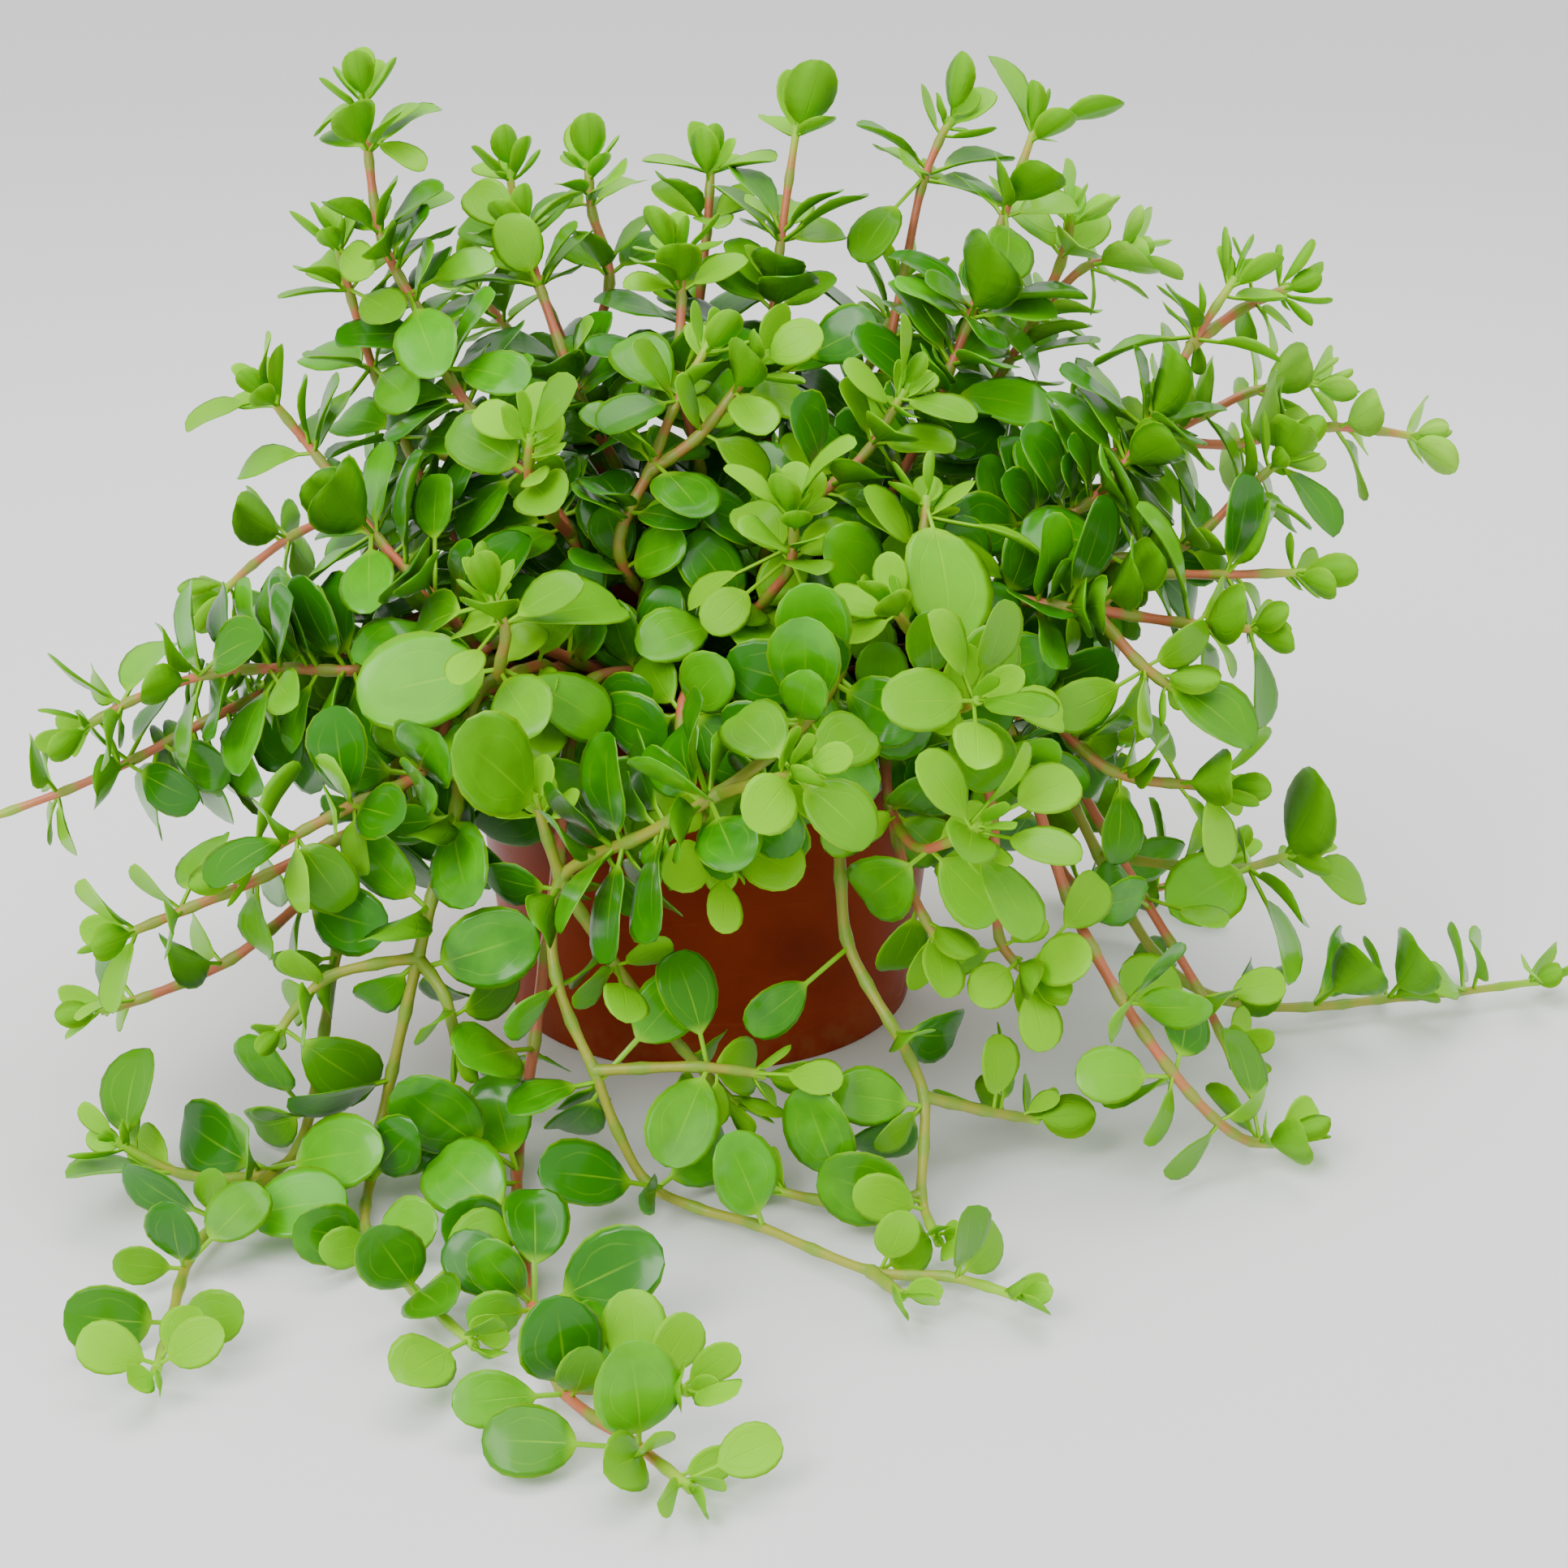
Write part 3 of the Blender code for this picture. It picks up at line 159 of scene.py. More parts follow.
PLANTS = {
    "tall_left": (
        [
            stem((-29, -22, 119), (-45, -14, 137), (-56, -6, 150), (-63, 0, 164), (-71, 6, 178),
                 (-74, 12, 195), (-75, 16, 210)),
            stem((-36, -38, 134), (-35, -43, 147), joins=0, tip=1),
        ],
        [(-69, 6, 204, 14), (-83, 18, 204, 12), (-66, 10, 197, 12), (-63, 2, 188, 15), (-62, -2, 171, 16),
         (-53, 2, 174, 14), (-60, -12, 160, 20), (-46, -14, 154, 18), (-32, -46, 152, 16),
         (-42, -40, 149, 12)],
    ),
    "left_upright": (
        [stem((-45, -10, 104), (-59, -6, 117), (-67, 0, 133), (-74, 5, 148), (-79, 8, 165), (-82, 10, 178),
              whorl=1)],
        [(-77, 2, 175, 12), (-70, 0, 164, 16), (-68, -8, 149, 18), (-83, -4, 141, 16), (-54, -12, 139, 18)],
    ),
    "left_arm": (
        [stem((-44, -40, 98), (-56, -43, 110), (-70, -30, 120), (-84, -18, 135), (-96, -15, 150), tip=2)],
        [(-95, -20, 158, 13), (-107, -18, 146, 14), (-71, -24, 132, 19), (-83, -30, 114, 17),
         (-71, -42, 115, 18), (-57, -36, 125, 16), (-58, -56, 120, 18)],
    ),
    "left_long": (
        [stem((-56, -36, 98), (-72, -48, 97), (-88, -48, 97), (-106, -46, 95), (-124, -44, 88),
              (-135, -46, 82))],
        [(-111, -38, 104, 19), (-99, -54, 104, 16), (-97, -58, 87, 20), (-86, -60, 94, 15),
         (-122, -34, 94, 18), (-92, -38, 108, 14), (-80, -38, 106, 20)],
    ),
    "left_far": (
        [stem((-60, -14, 98), (-78, -22, 93), (-94, -28, 86), (-110, -31, 79), (-126, -34, 71),
              (-142, -36, 64), (-164, -40, 57), tip=2)],
        [(-118, -42, 67, 16), (-147, -42, 73, 14), (-148, -32, 55, 12), (-124, -24, 78, 16),
         (-93, -38, 78, 18)],
    ),
    "big_left": (
        [stem((-34, -58, 97), (-41, -70, 102), (-39, -73, 113), (-42, -70, 121), young=8)],
        [(-57, -74, 103, 27), (-57, -64, 113, 22), (-26, -62, 115, 26), (-46, -84, 110, 10),
         (-26, -72, 98, 20)],
    ),
    "left_lime": (
        [stem((-46, -58, 95), (-56, -74, 85), (-69, -82, 80), (-80, -88, 76), (-92, -92, 70))],
        [(-73, -84, 90, 19), (-88, -80, 79, 20), (-64, -93, 82, 17), (-91, -98, 74, 18),
         (-76, -92, 67, 16)],
    ),
    "left_low": (
        [
            stem((-53, -62, 90), (-65, -74, 74), (-82, -78, 57), (-99, -80, 43), (-117, -84, 36),
                 (-126, -86, 34), tip=1),
            stem((-89, -86, 65), (-104, -91, 60), (-117, -96, 56), joins=1, tip=2),
        ],
        [(-119, -98, 62, 14), (-117, -101, 50, 15), (-125, -92, 38, 11), (-103, -80, 66, 16),
         (-91, -86, 53, 16), (-73, -88, 56, 20)],
    ),
    "left_trail": (
        [
            stem((-42, -66, 93), (-50, -78, 77), (-55, -86, 60), (-58, -90, 48), (-64, -94, 24),
                 (-68, -104, 5), (-66, -126, 4), (-54, -148, 4), (-40, -168, 4), tip=2),
            stem((-76, -95, 46), (-87, -98, 34), joins=3, tip=2, young=8),
            stem((-52, -96, 42), (-50, -98, 32), joins=3, tip=1, young=8),
        ],
        [(-49, -90, 70, 20), (-43, -94, 52, 22), (-65, -82, 67, 18), (-80, -100, 50, 12),
         (-74, -98, 26, 20), (-57, -132, 9, 15), (-50, -158, 9, 17), (-48, -180, 8, 17),
         (-42, -144, 12, 16), (-62, -112, 15, 17)],
    ),
    "left_outer": (
        [
            stem((-54, -50, 95), (-68, -64, 72), (-77, -76, 44), (-82, -90, 14), (-88, -102, 5),
                 (-106, -108, 7), (-119, -110, 16), tip=2),
            stem((-96, -120, 4), (-100, -136, 4), (-99, -158, 4), (-98, -178, 5), joins=4, tip=2),
        ],
        [(-74, -112, 14, 22), (-89, -96, 27, 17), (-93, -110, 14, 17), (-80, -124, 9, 20),
         (-120, -114, 12, 17), (-117, -104, 25, 18), (-108, -124, 12, 17), (-91, -130, 11, 15),
         (-104, -178, 9, 13), (-92, -176, 9, 12)],
    ),
    "front_floor": (
        [
            stem((-24, -58, 94), (-30, -70, 62), (-35, -84, 26), (-38, -100, 5), (-35, -124, 4),
                 (-31, -151, 4), (-23, -182, 4), (-9, -199, 4), (2, -213, 4), tip=2),
            stem((-10, -186, 7), (1, -195, 12), joins=6, tip=3),
        ],
        [(-42, -104, 33, 22), (-53, -108, 21, 23), (-47, -118, 12, 20), (-31, -138, 12, 19),
         (-41, -150, 9, 16), (-15, -158, 14, 22), (-17, -172, 8, 18), (-27, -203, 7, 17),
         (-34, -190, 7, 16), (-9, -184, 15, 15), (12, -209, 9, 12), (-9, -209, 7, 13)],
    ),
    "front_main": (
        [
            stem((34, -57, 97), (24, -82, 99), (5, -98, 88), (-13, -94, 76), (-28, -88, 65), (-29, -96, 47),
                 (-21, -104, 29), (-10, -110, 6), (12, -123, 4), (35, -141, 4), (50, -143, 4),
                 (63, -152, 5), tip=2, young=7),
            stem((-33, -89, 84), joins=4, tip=2),
            stem((21, -109, 97), joins=2, tip=3),
            stem((-18, -92, 49), (-3, -98, 31), (8, -98, 18), joins=4, tip=1),
            stem((0, -106, 31), (14, -104, 28), joins=6, tip=2, young=8),
            stem((41, -152, 5), joins=9, tip=1, young=7),
        ],
        [(-38, -97, 92, 26), (-45, -82, 90, 20), (-18, -93, 88, 21), (-28, -78, 93, 20),
         (-1, -107, 104, 20), (12, -98, 102, 18), (30, -98, 99, 17), (7, -113, 84, 16), (16, -116, 94, 14),
         (29, -113, 90, 17), (-14, -108, 47, 13), (-1, -102, 46, 18), (-2, -116, 24, 21),
         (10, -126, 17, 19), (-6, -100, 36, 18), (-32, -108, 27, 16), (-22, -119, 13, 21),
         (24, -112, 32, 12), (40, -143, 13, 11)],
    ),
    "front_hang": (
        [stem((-2, -60, 96), (-2, -80, 84), (5, -92, 73))],
        [(-1, -101, 74, 14), (15, -99, 74, 15), (6, -104, 66, 12), (-6, -92, 80, 14)],
    ),
    "front_up": (
        [stem((10, -46, 106), (19, -54, 121), (20, -53, 134), whorl=2)],
        [(3, -46, 119, 18), (-5, -58, 108, 17), (2, -68, 113, 12), (26, -66, 111, 16), (12, -60, 112, 20),
         (26, -56, 145, 16), (12, -54, 140, 14), (-12, -46, 110, 16)],
    ),
    "inner_right": (
        [stem((38, -46, 109), (46, -51, 121), (48, -44, 134), whorl=2)],
        [(33, -53, 121, 21), (52, -60, 121, 26), (66, -52, 126, 18)],
    ),
    "front_lime": (
        [
            stem((-15, -34, 112), (-17, -36, 124), (-11, -32, 136), (-6, -27, 148), (2, -22, 162), whorl=1),
            stem((-1, -31, 143), (6, -29, 151), (13, -27, 160), joins=2),
        ],
        [(-3, -44, 135, 18), (-20, -42, 132, 16), (-14, -34, 150, 17), (-12, -20, 158, 18),
         (11, -37, 151, 15), (20, -31, 164, 13)],
    ),
    "centre_lime": (
        [stem((14, -33, 118), (25, -31, 130), (36, -26, 139), (44, -23, 152), tip=3, whorl=2)],
        [(44, -25, 162, 14), (52, -30, 150, 16), (36, -28, 155, 14), (24, -42, 148, 18)],
    ),
    "front_right": (
        [
            stem((22, -59, 94), (29, -74, 74), (31, -84, 50), (40, -96, 36), (47, -102, 22), (46, -118, 8),
                 (49, -132, 5), tip=2, young=7),
            stem((60, -95, 15), (72, -88, 9), joins=4, tip=2),
            stem((34, -118, 5), (16, -109, 4), joins=5, tip=2),
        ],
        [(15, -98, 39, 16), (36, -106, 24, 16), (63, -94, 25, 13), (56, -84, 12, 14), (25, -116, 21, 20)],
    ),
    "right_big": (
        [
            stem((46, -58, 97), (52, -76, 98), (57, -90, 105), tip=3),
            stem((46, -66, 108), (40, -70, 118), joins=0, tip=3),
        ],
        [(51, -90, 117, 15), (64, -98, 107, 18), (46, -93, 106, 17), (56, -102, 100, 14),
         (70, -84, 101, 15), (60, -86, 116, 16)],
    ),
    "right_rosette": (
        [
            stem((38, -61, 94), (40, -76, 77), (46, -91, 73), (57, -101, 82), tip=2),
            stem((44, -85, 62), (50, -91, 52), joins=1, tip=2),
        ],
        [(50, -99, 90, 16), (62, -100, 93, 15), (55, -111, 84, 17), (70, -106, 80, 15), (74, -92, 88, 14),
         (63, -106, 69, 19), (38, -88, 63, 19), (50, -99, 50, 14)],
    ),
    "right_low": (
        [stem((55, -50, 94), (62, -70, 72), (63, -84, 50), (70, -90, 44), tip=3)],
        [(75, -95, 50, 14), (71, -95, 36, 13), (61, -96, 45, 12), (77, -80, 54, 16)],
    ),
    "right_trail": (
        [stem((60, -44, 94), (71, -62, 74), (78, -75, 55), (88, -89, 39), (98, -96, 26), (108, -96, 14),
              (117, -92, 6), (125, -90, 5))],
        [(95, -97, 49, 16), (103, -86, 31, 16), (119, -98, 12, 10), (117, -78, 18, 17), (86, -100, 26, 15)],
    ),
    "right_tip": (
        [stem((64, -32, 97), (77, -50, 85), (88, -57, 77), (101, -57, 74), (112, -56, 73))],
        [(116, -60, 82, 16), (111, -65, 66, 15), (98, -48, 82, 16), (90, -63, 66, 16)],
    ),
    "right_flat": (
        [
            stem((54, -36, 106), (68, -44, 111), (84, -47, 110), (93, -37, 114), (113, -29, 112),
                 (133, -24, 111)),
            stem((103, -44, 106), (121, -40, 103), joins=2),
            stem((93, -55, 101), (101, -56, 95), joins=2, tip=1, young=13),
        ],
        [(79, -38, 124, 20), (101, -46, 123, 25), (92, -30, 131, 22), (118, -26, 122, 20),
         (72, -56, 114, 18), (108, -62, 89, 23), (122, -46, 92, 18), (82, -62, 94, 16)],
    ),
    "right_far": (
        [
            stem((62, -12, 96), (76, -20, 72), (90, -26, 44), (104, -28, 20), (120, -27, 8), (140, -25, 5),
                 (158, -21, 5), (177, -17, 5), (198, -11, 5)),
            stem((106, -34, 45), (121, -34, 44), (134, -29, 46), joins=2, tip=2),
        ],
        [(136, -34, 57, 23), (113, -46, 45, 23), (131, -42, 30, 20), (146, -26, 38, 16), (150, -33, 18, 19),
         (164, -30, 19, 22), (171, -26, 12, 15), (181, -22, 17, 16), (194, -19, 12, 11)],
    ),
    "right_pair": (
        [stem((66, -24, 94), (82, -34, 68), (97, -46, 44), (110, -55, 24), (117, -64, 11), tip=2)],
        [(110, -58, 43, 14), (123, -58, 26, 12), (92, -58, 50, 16), (99, -60, 28, 16)],
    ),
    "right_up": (
        [
            stem((52, -10, 108), (70, -20, 120), (84, -23, 126), (97, -14, 139), (108, -4, 157),
                 (118, 2, 171), whorl=1),
            stem((120, 6, 163), (132, 12, 167), joins=4, tip=2),
        ],
        [(106, -10, 168, 15), (121, -8, 158, 15), (95, 0, 157, 18), (86, -14, 150, 18),
         (103, -24, 144, 18)],
    ),
    "right_mid": (
        [stem((58, -2, 104), (82, -12, 110), (105, -17, 114), (119, -11, 124), (130, -7, 133), whorl=2)],
        [(130, -14, 139, 15), (135, -14, 125, 19)],
    ),
    "right_back": (
        [
            stem((50, 10, 110), (77, 13, 123), (104, 15, 131), (126, 23, 140), (143, 28, 141), whorl=1),
            stem((122, 18, 129), (146, 26, 131), (168, 32, 127), joins=2, tip=2, young=9),
        ],
        [],
    ),
    "tall_right": (
        [stem((36, 2, 112), (50, 0, 139), (59, 7, 159), (67, 18, 180), (75, 27, 201), whorl=1)],
        [(69, 30, 209, 17), (87, 24, 205, 15), (68, 6, 177, 16), (62, -6, 161, 17), (51, 4, 167, 18)],
    ),
    "back_right": (
        [stem((34, 24, 112), (42, 32, 146), (50, 42, 184), (57, 48, 199), spread=34, young=14, whorl=2)],
        [(60, 44, 184, 18), (39, 32, 176, 16)],
    ),
    "back_pale": (
        [
            stem((46, 22, 112), (63, 26, 134), (76, 32, 154), (88, 38, 166), (101, 44, 169), whorl=1),
            stem((82, 32, 168), (84, 30, 180), joins=2, tip=2),
        ],
        [],
    ),
    "tall_mid": (
        [stem((12, 12, 112), (14, 18, 142), (17, 29, 172), (21, 37, 199), spread=34, young=15, whorl=2)],
        [(8, 36, 182, 16), (29, 27, 183, 17), (33, 12, 160, 20), (4, 14, 152, 18)],
    ),
    "back_mid": (
        [stem((2, 24, 112), (-2, 33, 150), (0, 40, 174), (1, 46, 189), tip=3, whorl=2)],
        [(-6, 44, 189, 14), (9, 41, 190, 15)],
    ),
    "mid_left": (
        [stem((-12, 8, 112), (-28, 7, 142), (-37, 18, 164), (-42, 24, 179), tip=3, whorl=2)],
        [(-49, 26, 183, 14), (-35, 26, 183, 14), (-42, 17, 176, 14)],
    ),
    "back_left": (
        [
            stem((-18, 24, 112), (-30, 31, 142), (-42, 38, 168), (-46, 43, 188), tip=3, whorl=1),
            stem((-23, 40, 162), (-27, 46, 177), (-28, 50, 189), joins=1, spread=36, young=13),
        ],
        [],
    ),
    "mid_lime": (
        [stem((-2, -6, 112), (-5, 0, 146), (-5, 8, 165), (-6, 13, 176), tip=3, whorl=2)],
        [],
    ),
}
print("rooted stems written down:", len(PLANTS))

# %% [markdown]
# The stems of the far side are spread evenly in angle. They take turns at three habits: trailing down
# to the ground, standing in a dome and reaching outwards. A seeded draw sways them, so that they look
# grown, and the same each time.

# %% Stems of the far side
FAR_SWAY, FAR_DRIFT = 0.9, 3
SHOOT_TURN, SHOOT_DRIFT = 9, 5


def far_plants():
    """Rooted stems of the far side: evenly turned, and in turn trailing, domed and reaching outwards."""
    shapes = (
        (((58, 97), (73, 74), (82, 42), (96, 12), (120, 5), (146, 6)), ((94, 50), (112, 44)), 1),
        (((28, 112), (48, 134), (64, 150), (76, 160)), ((58, 116), (76, 122)), 0),
        (((46, 104), (74, 114), (100, 106), (120, 90)), ((88, 92), (104, 76)), 1),
    )
    draw = random.Random(SEED)
    found = {}
    for number in range(FAR_STEMS):
        angle = FAR_FROM + (FAR_TO - FAR_FROM) * number / (FAR_STEMS - 1)
        main, side, joins = shapes[number % len(shapes)]
        sway = draw.uniform(-FAR_SWAY, FAR_SWAY)

        def place(reach, height, turn):
            heading = math.radians(angle + turn)
            return (reach * math.cos(heading), reach * math.sin(heading), height)

        trunk = [place(r, z, sway * step * FAR_DRIFT) for step, (r, z) in enumerate(main)]
        shoot = [place(r, z, SHOOT_TURN + SHOOT_DRIFT * step) for step, (r, z) in enumerate(side)]
        found[f"far_{number + 1}"] = ([stem(*trunk, whorl=2), stem(*shoot, joins=joins, tip=3)], [])
    return found


print("stems of the far side:", len(far_plants()))

# %% [markdown]
# A stem bends smoothly from leaf joint to leaf joint. A cubic curve through the points gives that, and
# is cut into internodes of about the length that the plant has. Rings turn with the stem without
# twisting, so that a leaf can be seated on a chosen side of it.

# %% Joints along a stem
STRAIGHT_ON, SAME_SIDE = 0.85, 0.6


def sunflower(count, radius):
    """Evenly spread spots in a disc."""
    turn = math.pi * (3 - math.sqrt(5))
    for k in range(count):
        reach = radius * math.sqrt((k + 0.5) / count)
        yield reach * math.cos(turn * k), reach * math.sin(turn * k)


def smooth_route(points):
    """Joints on a smooth curve, about one internode apart, and which of them lies at each point."""
    points = [Vector(p) for p in points]
    spans = [(b - a).normalized() for a, b in zip(points, points[1:])]
    headings = [spans[0]] + [(a + b).normalized() for a, b in zip(spans, spans[1:])] + [spans[-1]]
    joints, places = [points[0]], [0]
    for i, (a, b) in enumerate(zip(points, points[1:])):
        size = (b - a).length
        steps = max(1, round(size / INTERNODE))
        for step in range(1, steps + 1):
            t = step / steps
            joints.append(
                a * (2 * t**3 - 3 * t**2 + 1) + b * (3 * t**2 - 2 * t**3)
                + headings[i] * (size * (t**3 - 2 * t**2 + t)) + headings[i + 1] * (size * (t**3 - t**2))
            )
        places.append(len(joints) - 1)
    return joints, places


class Plant:
    """One rooted stem with its side shoots: joints, and the list of joints along each stem."""

    def __init__(self, name, stems, wishes, root):
        self.name = name
        self.stems = stems
        self.wishes = wishes
        self.leaves = []
        self.seats = []
        self.light = (LIGHT_AXIS_Y, LIGHT_LEAN)
        base = [(*root, SOIL_TOP - HOLE_DEPTH + STEM_FOOT), (*root, SOIL_TOP + STEM_COLLAR)]
        self.joints, places = smooth_route(base + list(stems[0]["way"]))
        self.lines = [list(range(len(self.joints)))]
        for side in stems[1:]:
            start = places[side["joins"] + 2]
            extra, _ = smooth_route([self.joints[start]] + list(side["way"]))
            first = len(self.joints)
            self.joints += extra[1:]
            self.lines.append([start] + list(range(first, len(self.joints))))

    def segments(self):
        return [(a, b) for line in self.lines for a, b in zip(line, line[1:])]

    def frame_stems(self):
        """Each stem's rings: centre, two directions across, and radius. They turn without a twist."""
        self.rings = []
        for number, line in enumerate(self.lines):
            u, v, heading = Vector((1, 0, 0)), Vector((0, 1, 0)), Vector((0, 0, 1))
            start = STEM_RADIUS if number == 0 else STEM_RADIUS * SIDE_SHOOT
            rings = []
            for step, joint in enumerate(line):
                growing = self.tangent(number, step)
                turn = heading.rotation_difference(growing)
                u, v, heading = turn @ u, turn @ v, growing
                part = step / (len(line) - 1)
                rings.append((self.joints[joint], u, v, start + (TIP_RADIUS - start) * part**TAPER_POWER))
            self.rings.append(rings)

    def tangent(self, number, step):
        line = self.lines[number]
        before = self.joints[line[max(step - 1, 0)]]
        after = self.joints[line[min(step + 1, len(line) - 1)]]
        return (after - before).normalized()

    def seat(self, number, step, outward):
        """Where a leaf leaves its stem, clear of its fellows there, and the side that it is on."""
        rings = self.rings[number]
        last = step == len(rings) - 1
        centre, u, v, radius = rings[step]
        beyond, _, _, radius_beyond = rings[step - 1 if last else step + 1]
        heading = (beyond - centre).normalized()
        if last and outward.dot(heading) < -STRAIGHT_ON * outward.length:
            return centre.copy(), -heading
        side = (outward - heading * outward.dot(heading)).normalized()
        near = [other for n, s, other in self.seats if (n, s) == (number, step)]
        fellows = sum(1 for other in near if other.dot(side) > SAME_SIDE)
        away = SEAT_STEP * (1 + fellows)
        part = away / (beyond - centre).length
        corner = math.atan2(side.dot(v), side.dot(u)) % (math.tau / STEM_SIDES) - math.pi / STEM_SIDES
        radius += (radius_beyond - radius) * part
        surface = radius * math.cos(math.pi / STEM_SIDES) / math.cos(corner)
        return centre + heading * away + side * surface, side


# %% [markdown]
# Each stem is rooted at a free spot in the soil near where it heads. The spots lie in the spiral of a
# sunflower head, which fills a disc evenly. Then the stems are pushed apart until none touches another,
# the pot or the ground. A physics simulation could do that too, but a few rounds of small pushes are
# quicker and repeatable.

# %% Rooting and settling
SPARE_SPOTS = 3
GROUND_GAP, LIP_MARGIN, SOIL_MARGIN = 0.4, 2.0, 1.0
SETTLING_ROUNDS = 120
STEM_SPARE, WALL_SPARE = 0.2, 0.6


def pot_profile():
    """The pot's section as (radius, height), from the middle of its base round to that of its floor."""
    inner_floor = FOOT_HEIGHT + FLOOR_THICK
    shoulder = POT_HEIGHT - LIP_HEIGHT
    return [
        (0, 0), (PAD_RADIUS, 0), (PAD_RADIUS + FOOT_SLANT, FOOT_HEIGHT),
        (BASE_RADIUS - FOOT_WIDTH - FOOT_SLANT, FOOT_HEIGHT), (BASE_RADIUS - FOOT_WIDTH, 0),
        (BASE_RADIUS, 0), (TOP_RADIUS, shoulder), (LIP_RADIUS - LIP_SOFT, shoulder),
        (LIP_RADIUS, shoulder + LIP_SLANT), (LIP_RADIUS, POT_HEIGHT - LIP_ROUND),
        (LIP_RADIUS - LIP_ROUND, POT_HEIGHT), (TOP_RADIUS - WALL + LIP_INSET, POT_HEIGHT),
        (TOP_RADIUS - WALL, POT_HEIGHT - LIP_SOFT), (BASE_RADIUS - WALL, inner_floor), (0, inner_floor),
    ]


def pot_shell():
    """The pot's wall and lip as points and faces, for keeping blades clear of them."""
    # Up the wall from the outer foot, over the lip and down inside to the floor.
    profile = pot_profile()[5:-1]
    points, faces = [], []
    for k in range(POT_SIDES):
        angle = math.tau * k / POT_SIDES
        points += [Vector((r * math.cos(angle), r * math.sin(angle), z)) for r, z in profile]
        first, after = k * len(profile), (k + 1) % POT_SIDES * len(profile)
        faces += [[first + i, after + i, after + i + 1, first + i + 1] for i in range(len(profile) - 1)]
    return points, faces


def wall_radius(z):
    """The pot wall's outer radius at a height."""
    rise = min(max(z / (POT_HEIGHT - LIP_HEIGHT), 0.0), 1.0)
    return BASE_RADIUS + (TOP_RADIUS - BASE_RADIUS) * rise


def root_plants():
    """Gives each plant the free spot in the soil that is nearest to where it heads."""
    table = {**PLANTS, **far_plants()}
    spots = list(sunflower(len(table) + SPARE_SPOTS, ROOT_SPREAD))
    plants = []
    for name, (stems, wishes) in table.items():
        x, y, _ = stems[0]["way"][0]
        spot = min(spots, key=lambda s: math.hypot(s[0] - ROOT_PULL * x, s[1] - ROOT_PULL * y))
        spots.remove(spot)
        plants.append(Plant(name, stems, wishes, spot))
    return plants


def nearest_points(a, b, c, d):
    """How far along each of two segments they come closest, and the way there from the second."""
    u, v, w = b - a, d - c, a - c
    uu, uv, vv, uw, vw = u.dot(u), u.dot(v), v.dot(v), u.dot(w), v.dot(w)
    spread = uu * vv - uv * uv
    s = min(max((uv * vw - vv * uw) / spread, 0.0), 1.0) if spread > 1e-9 else 0.0
    t = min(max((uv * s + vw) / vv, 0.0), 1.0)
    s = min(max((uv * t - uw) / uu, 0.0), 1.0)
    return s, t, (a + u * s) - (c + v * t)


def off_pot(point, room):
    """The shortest way out of the pot's wall, the soil or the ground, for a stem of this room."""
    move = Vector((0, 0, max(0.0, room + GROUND_GAP - point.z)))
    reach = math.hypot(point.x, point.y)
    at_lip = point.z > POT_HEIGHT - LIP_HEIGHT - LIP_MARGIN
    outer = (LIP_RADIUS if at_lip else wall_radius(point.z)) + room
    top = POT_HEIGHT + room
    inner = TOP_RADIUS - WALL - room
    if point.z < top and inner < reach < outer:
        outwards = Vector((point.x, point.y, 0)) / reach
        ways = [Vector((0, 0, top - point.z))]
        if reach > LIP_RADIUS or point.z < POT_HEIGHT - 2 * LIP_HEIGHT:
            ways.append(outwards * (outer - reach))
        if reach < TOP_RADIUS - WALL and point.z > SOIL_TOP + room:
            ways.append(outwards * (inner - reach))
        move += min(ways, key=lambda way: way.length)
    elif reach <= inner and point.z < SOIL_TOP + room + SOIL_MARGIN:
        move.z += SOIL_TOP + room + SOIL_MARGIN - point.z
    return move


def settle(plants):
    """Bends the stems clear of one another and of the pot. The joints in the soil stay."""
    pieces = [(plant, a, b) for plant in plants for a, b in plant.segments()]
    for _ in range(SETTLING_ROUNDS):
        boxes = []
        for plant, a, b in pieces:
            p, q = plant.joints[a], plant.joints[b]
            boxes.append((min(p.x, q.x), max(p.x, q.x), min(p.y, q.y), max(p.y, q.y), plant, a, b))
        boxes.sort(key=lambda box: box[0])
        moves = []
        for i, (_, high, low_y, high_y, plant, a, b) in enumerate(boxes):
            for low2, _, low_y2, high_y2, plant2, c, d in boxes[i + 1:]:
                if low2 > high + STEM_ROOM:
                    break
                if plant is plant2 or low_y2 > high_y + STEM_ROOM or low_y > high_y2 + STEM_ROOM:
                    continue
                s, t, way = nearest_points(plant.joints[a], plant.joints[b],
                                           plant2.joints[c], plant2.joints[d])
                if way.length < STEM_ROOM:
                    push = way.normalized() if way.length > 1e-6 else Vector((0, 0, 1))
                    push *= 0.5 * (STEM_ROOM + STEM_SPARE - way.length)
                    moves += [(plant, a, push * (1 - s)), (plant, b, push * s)]
                    moves += [(plant2, c, push * (t - 1)), (plant2, d, push * -t)]
            for t in (k / WALL_CHECKS for k in range(WALL_CHECKS + 1)):
                if min(a, b) > 0:
                    push = off_pot(plant.joints[a].lerp(plant.joints[b], t), STEM_RADIUS + WALL_SPARE)
                    if push.length > 0:
                        moves += [(plant, a, push * (1 - t)), (plant, b, push * t)]
        if not moves:
            break
        for plant, joint, push in moves:
            if joint > 1:
                plant.joints[joint] = plant.joints[joint] + push


plants = root_plants()
settle(plants)
print("stems settled:", len(plants), "with", sum(len(plant.segments()) for plant in plants), "internodes")

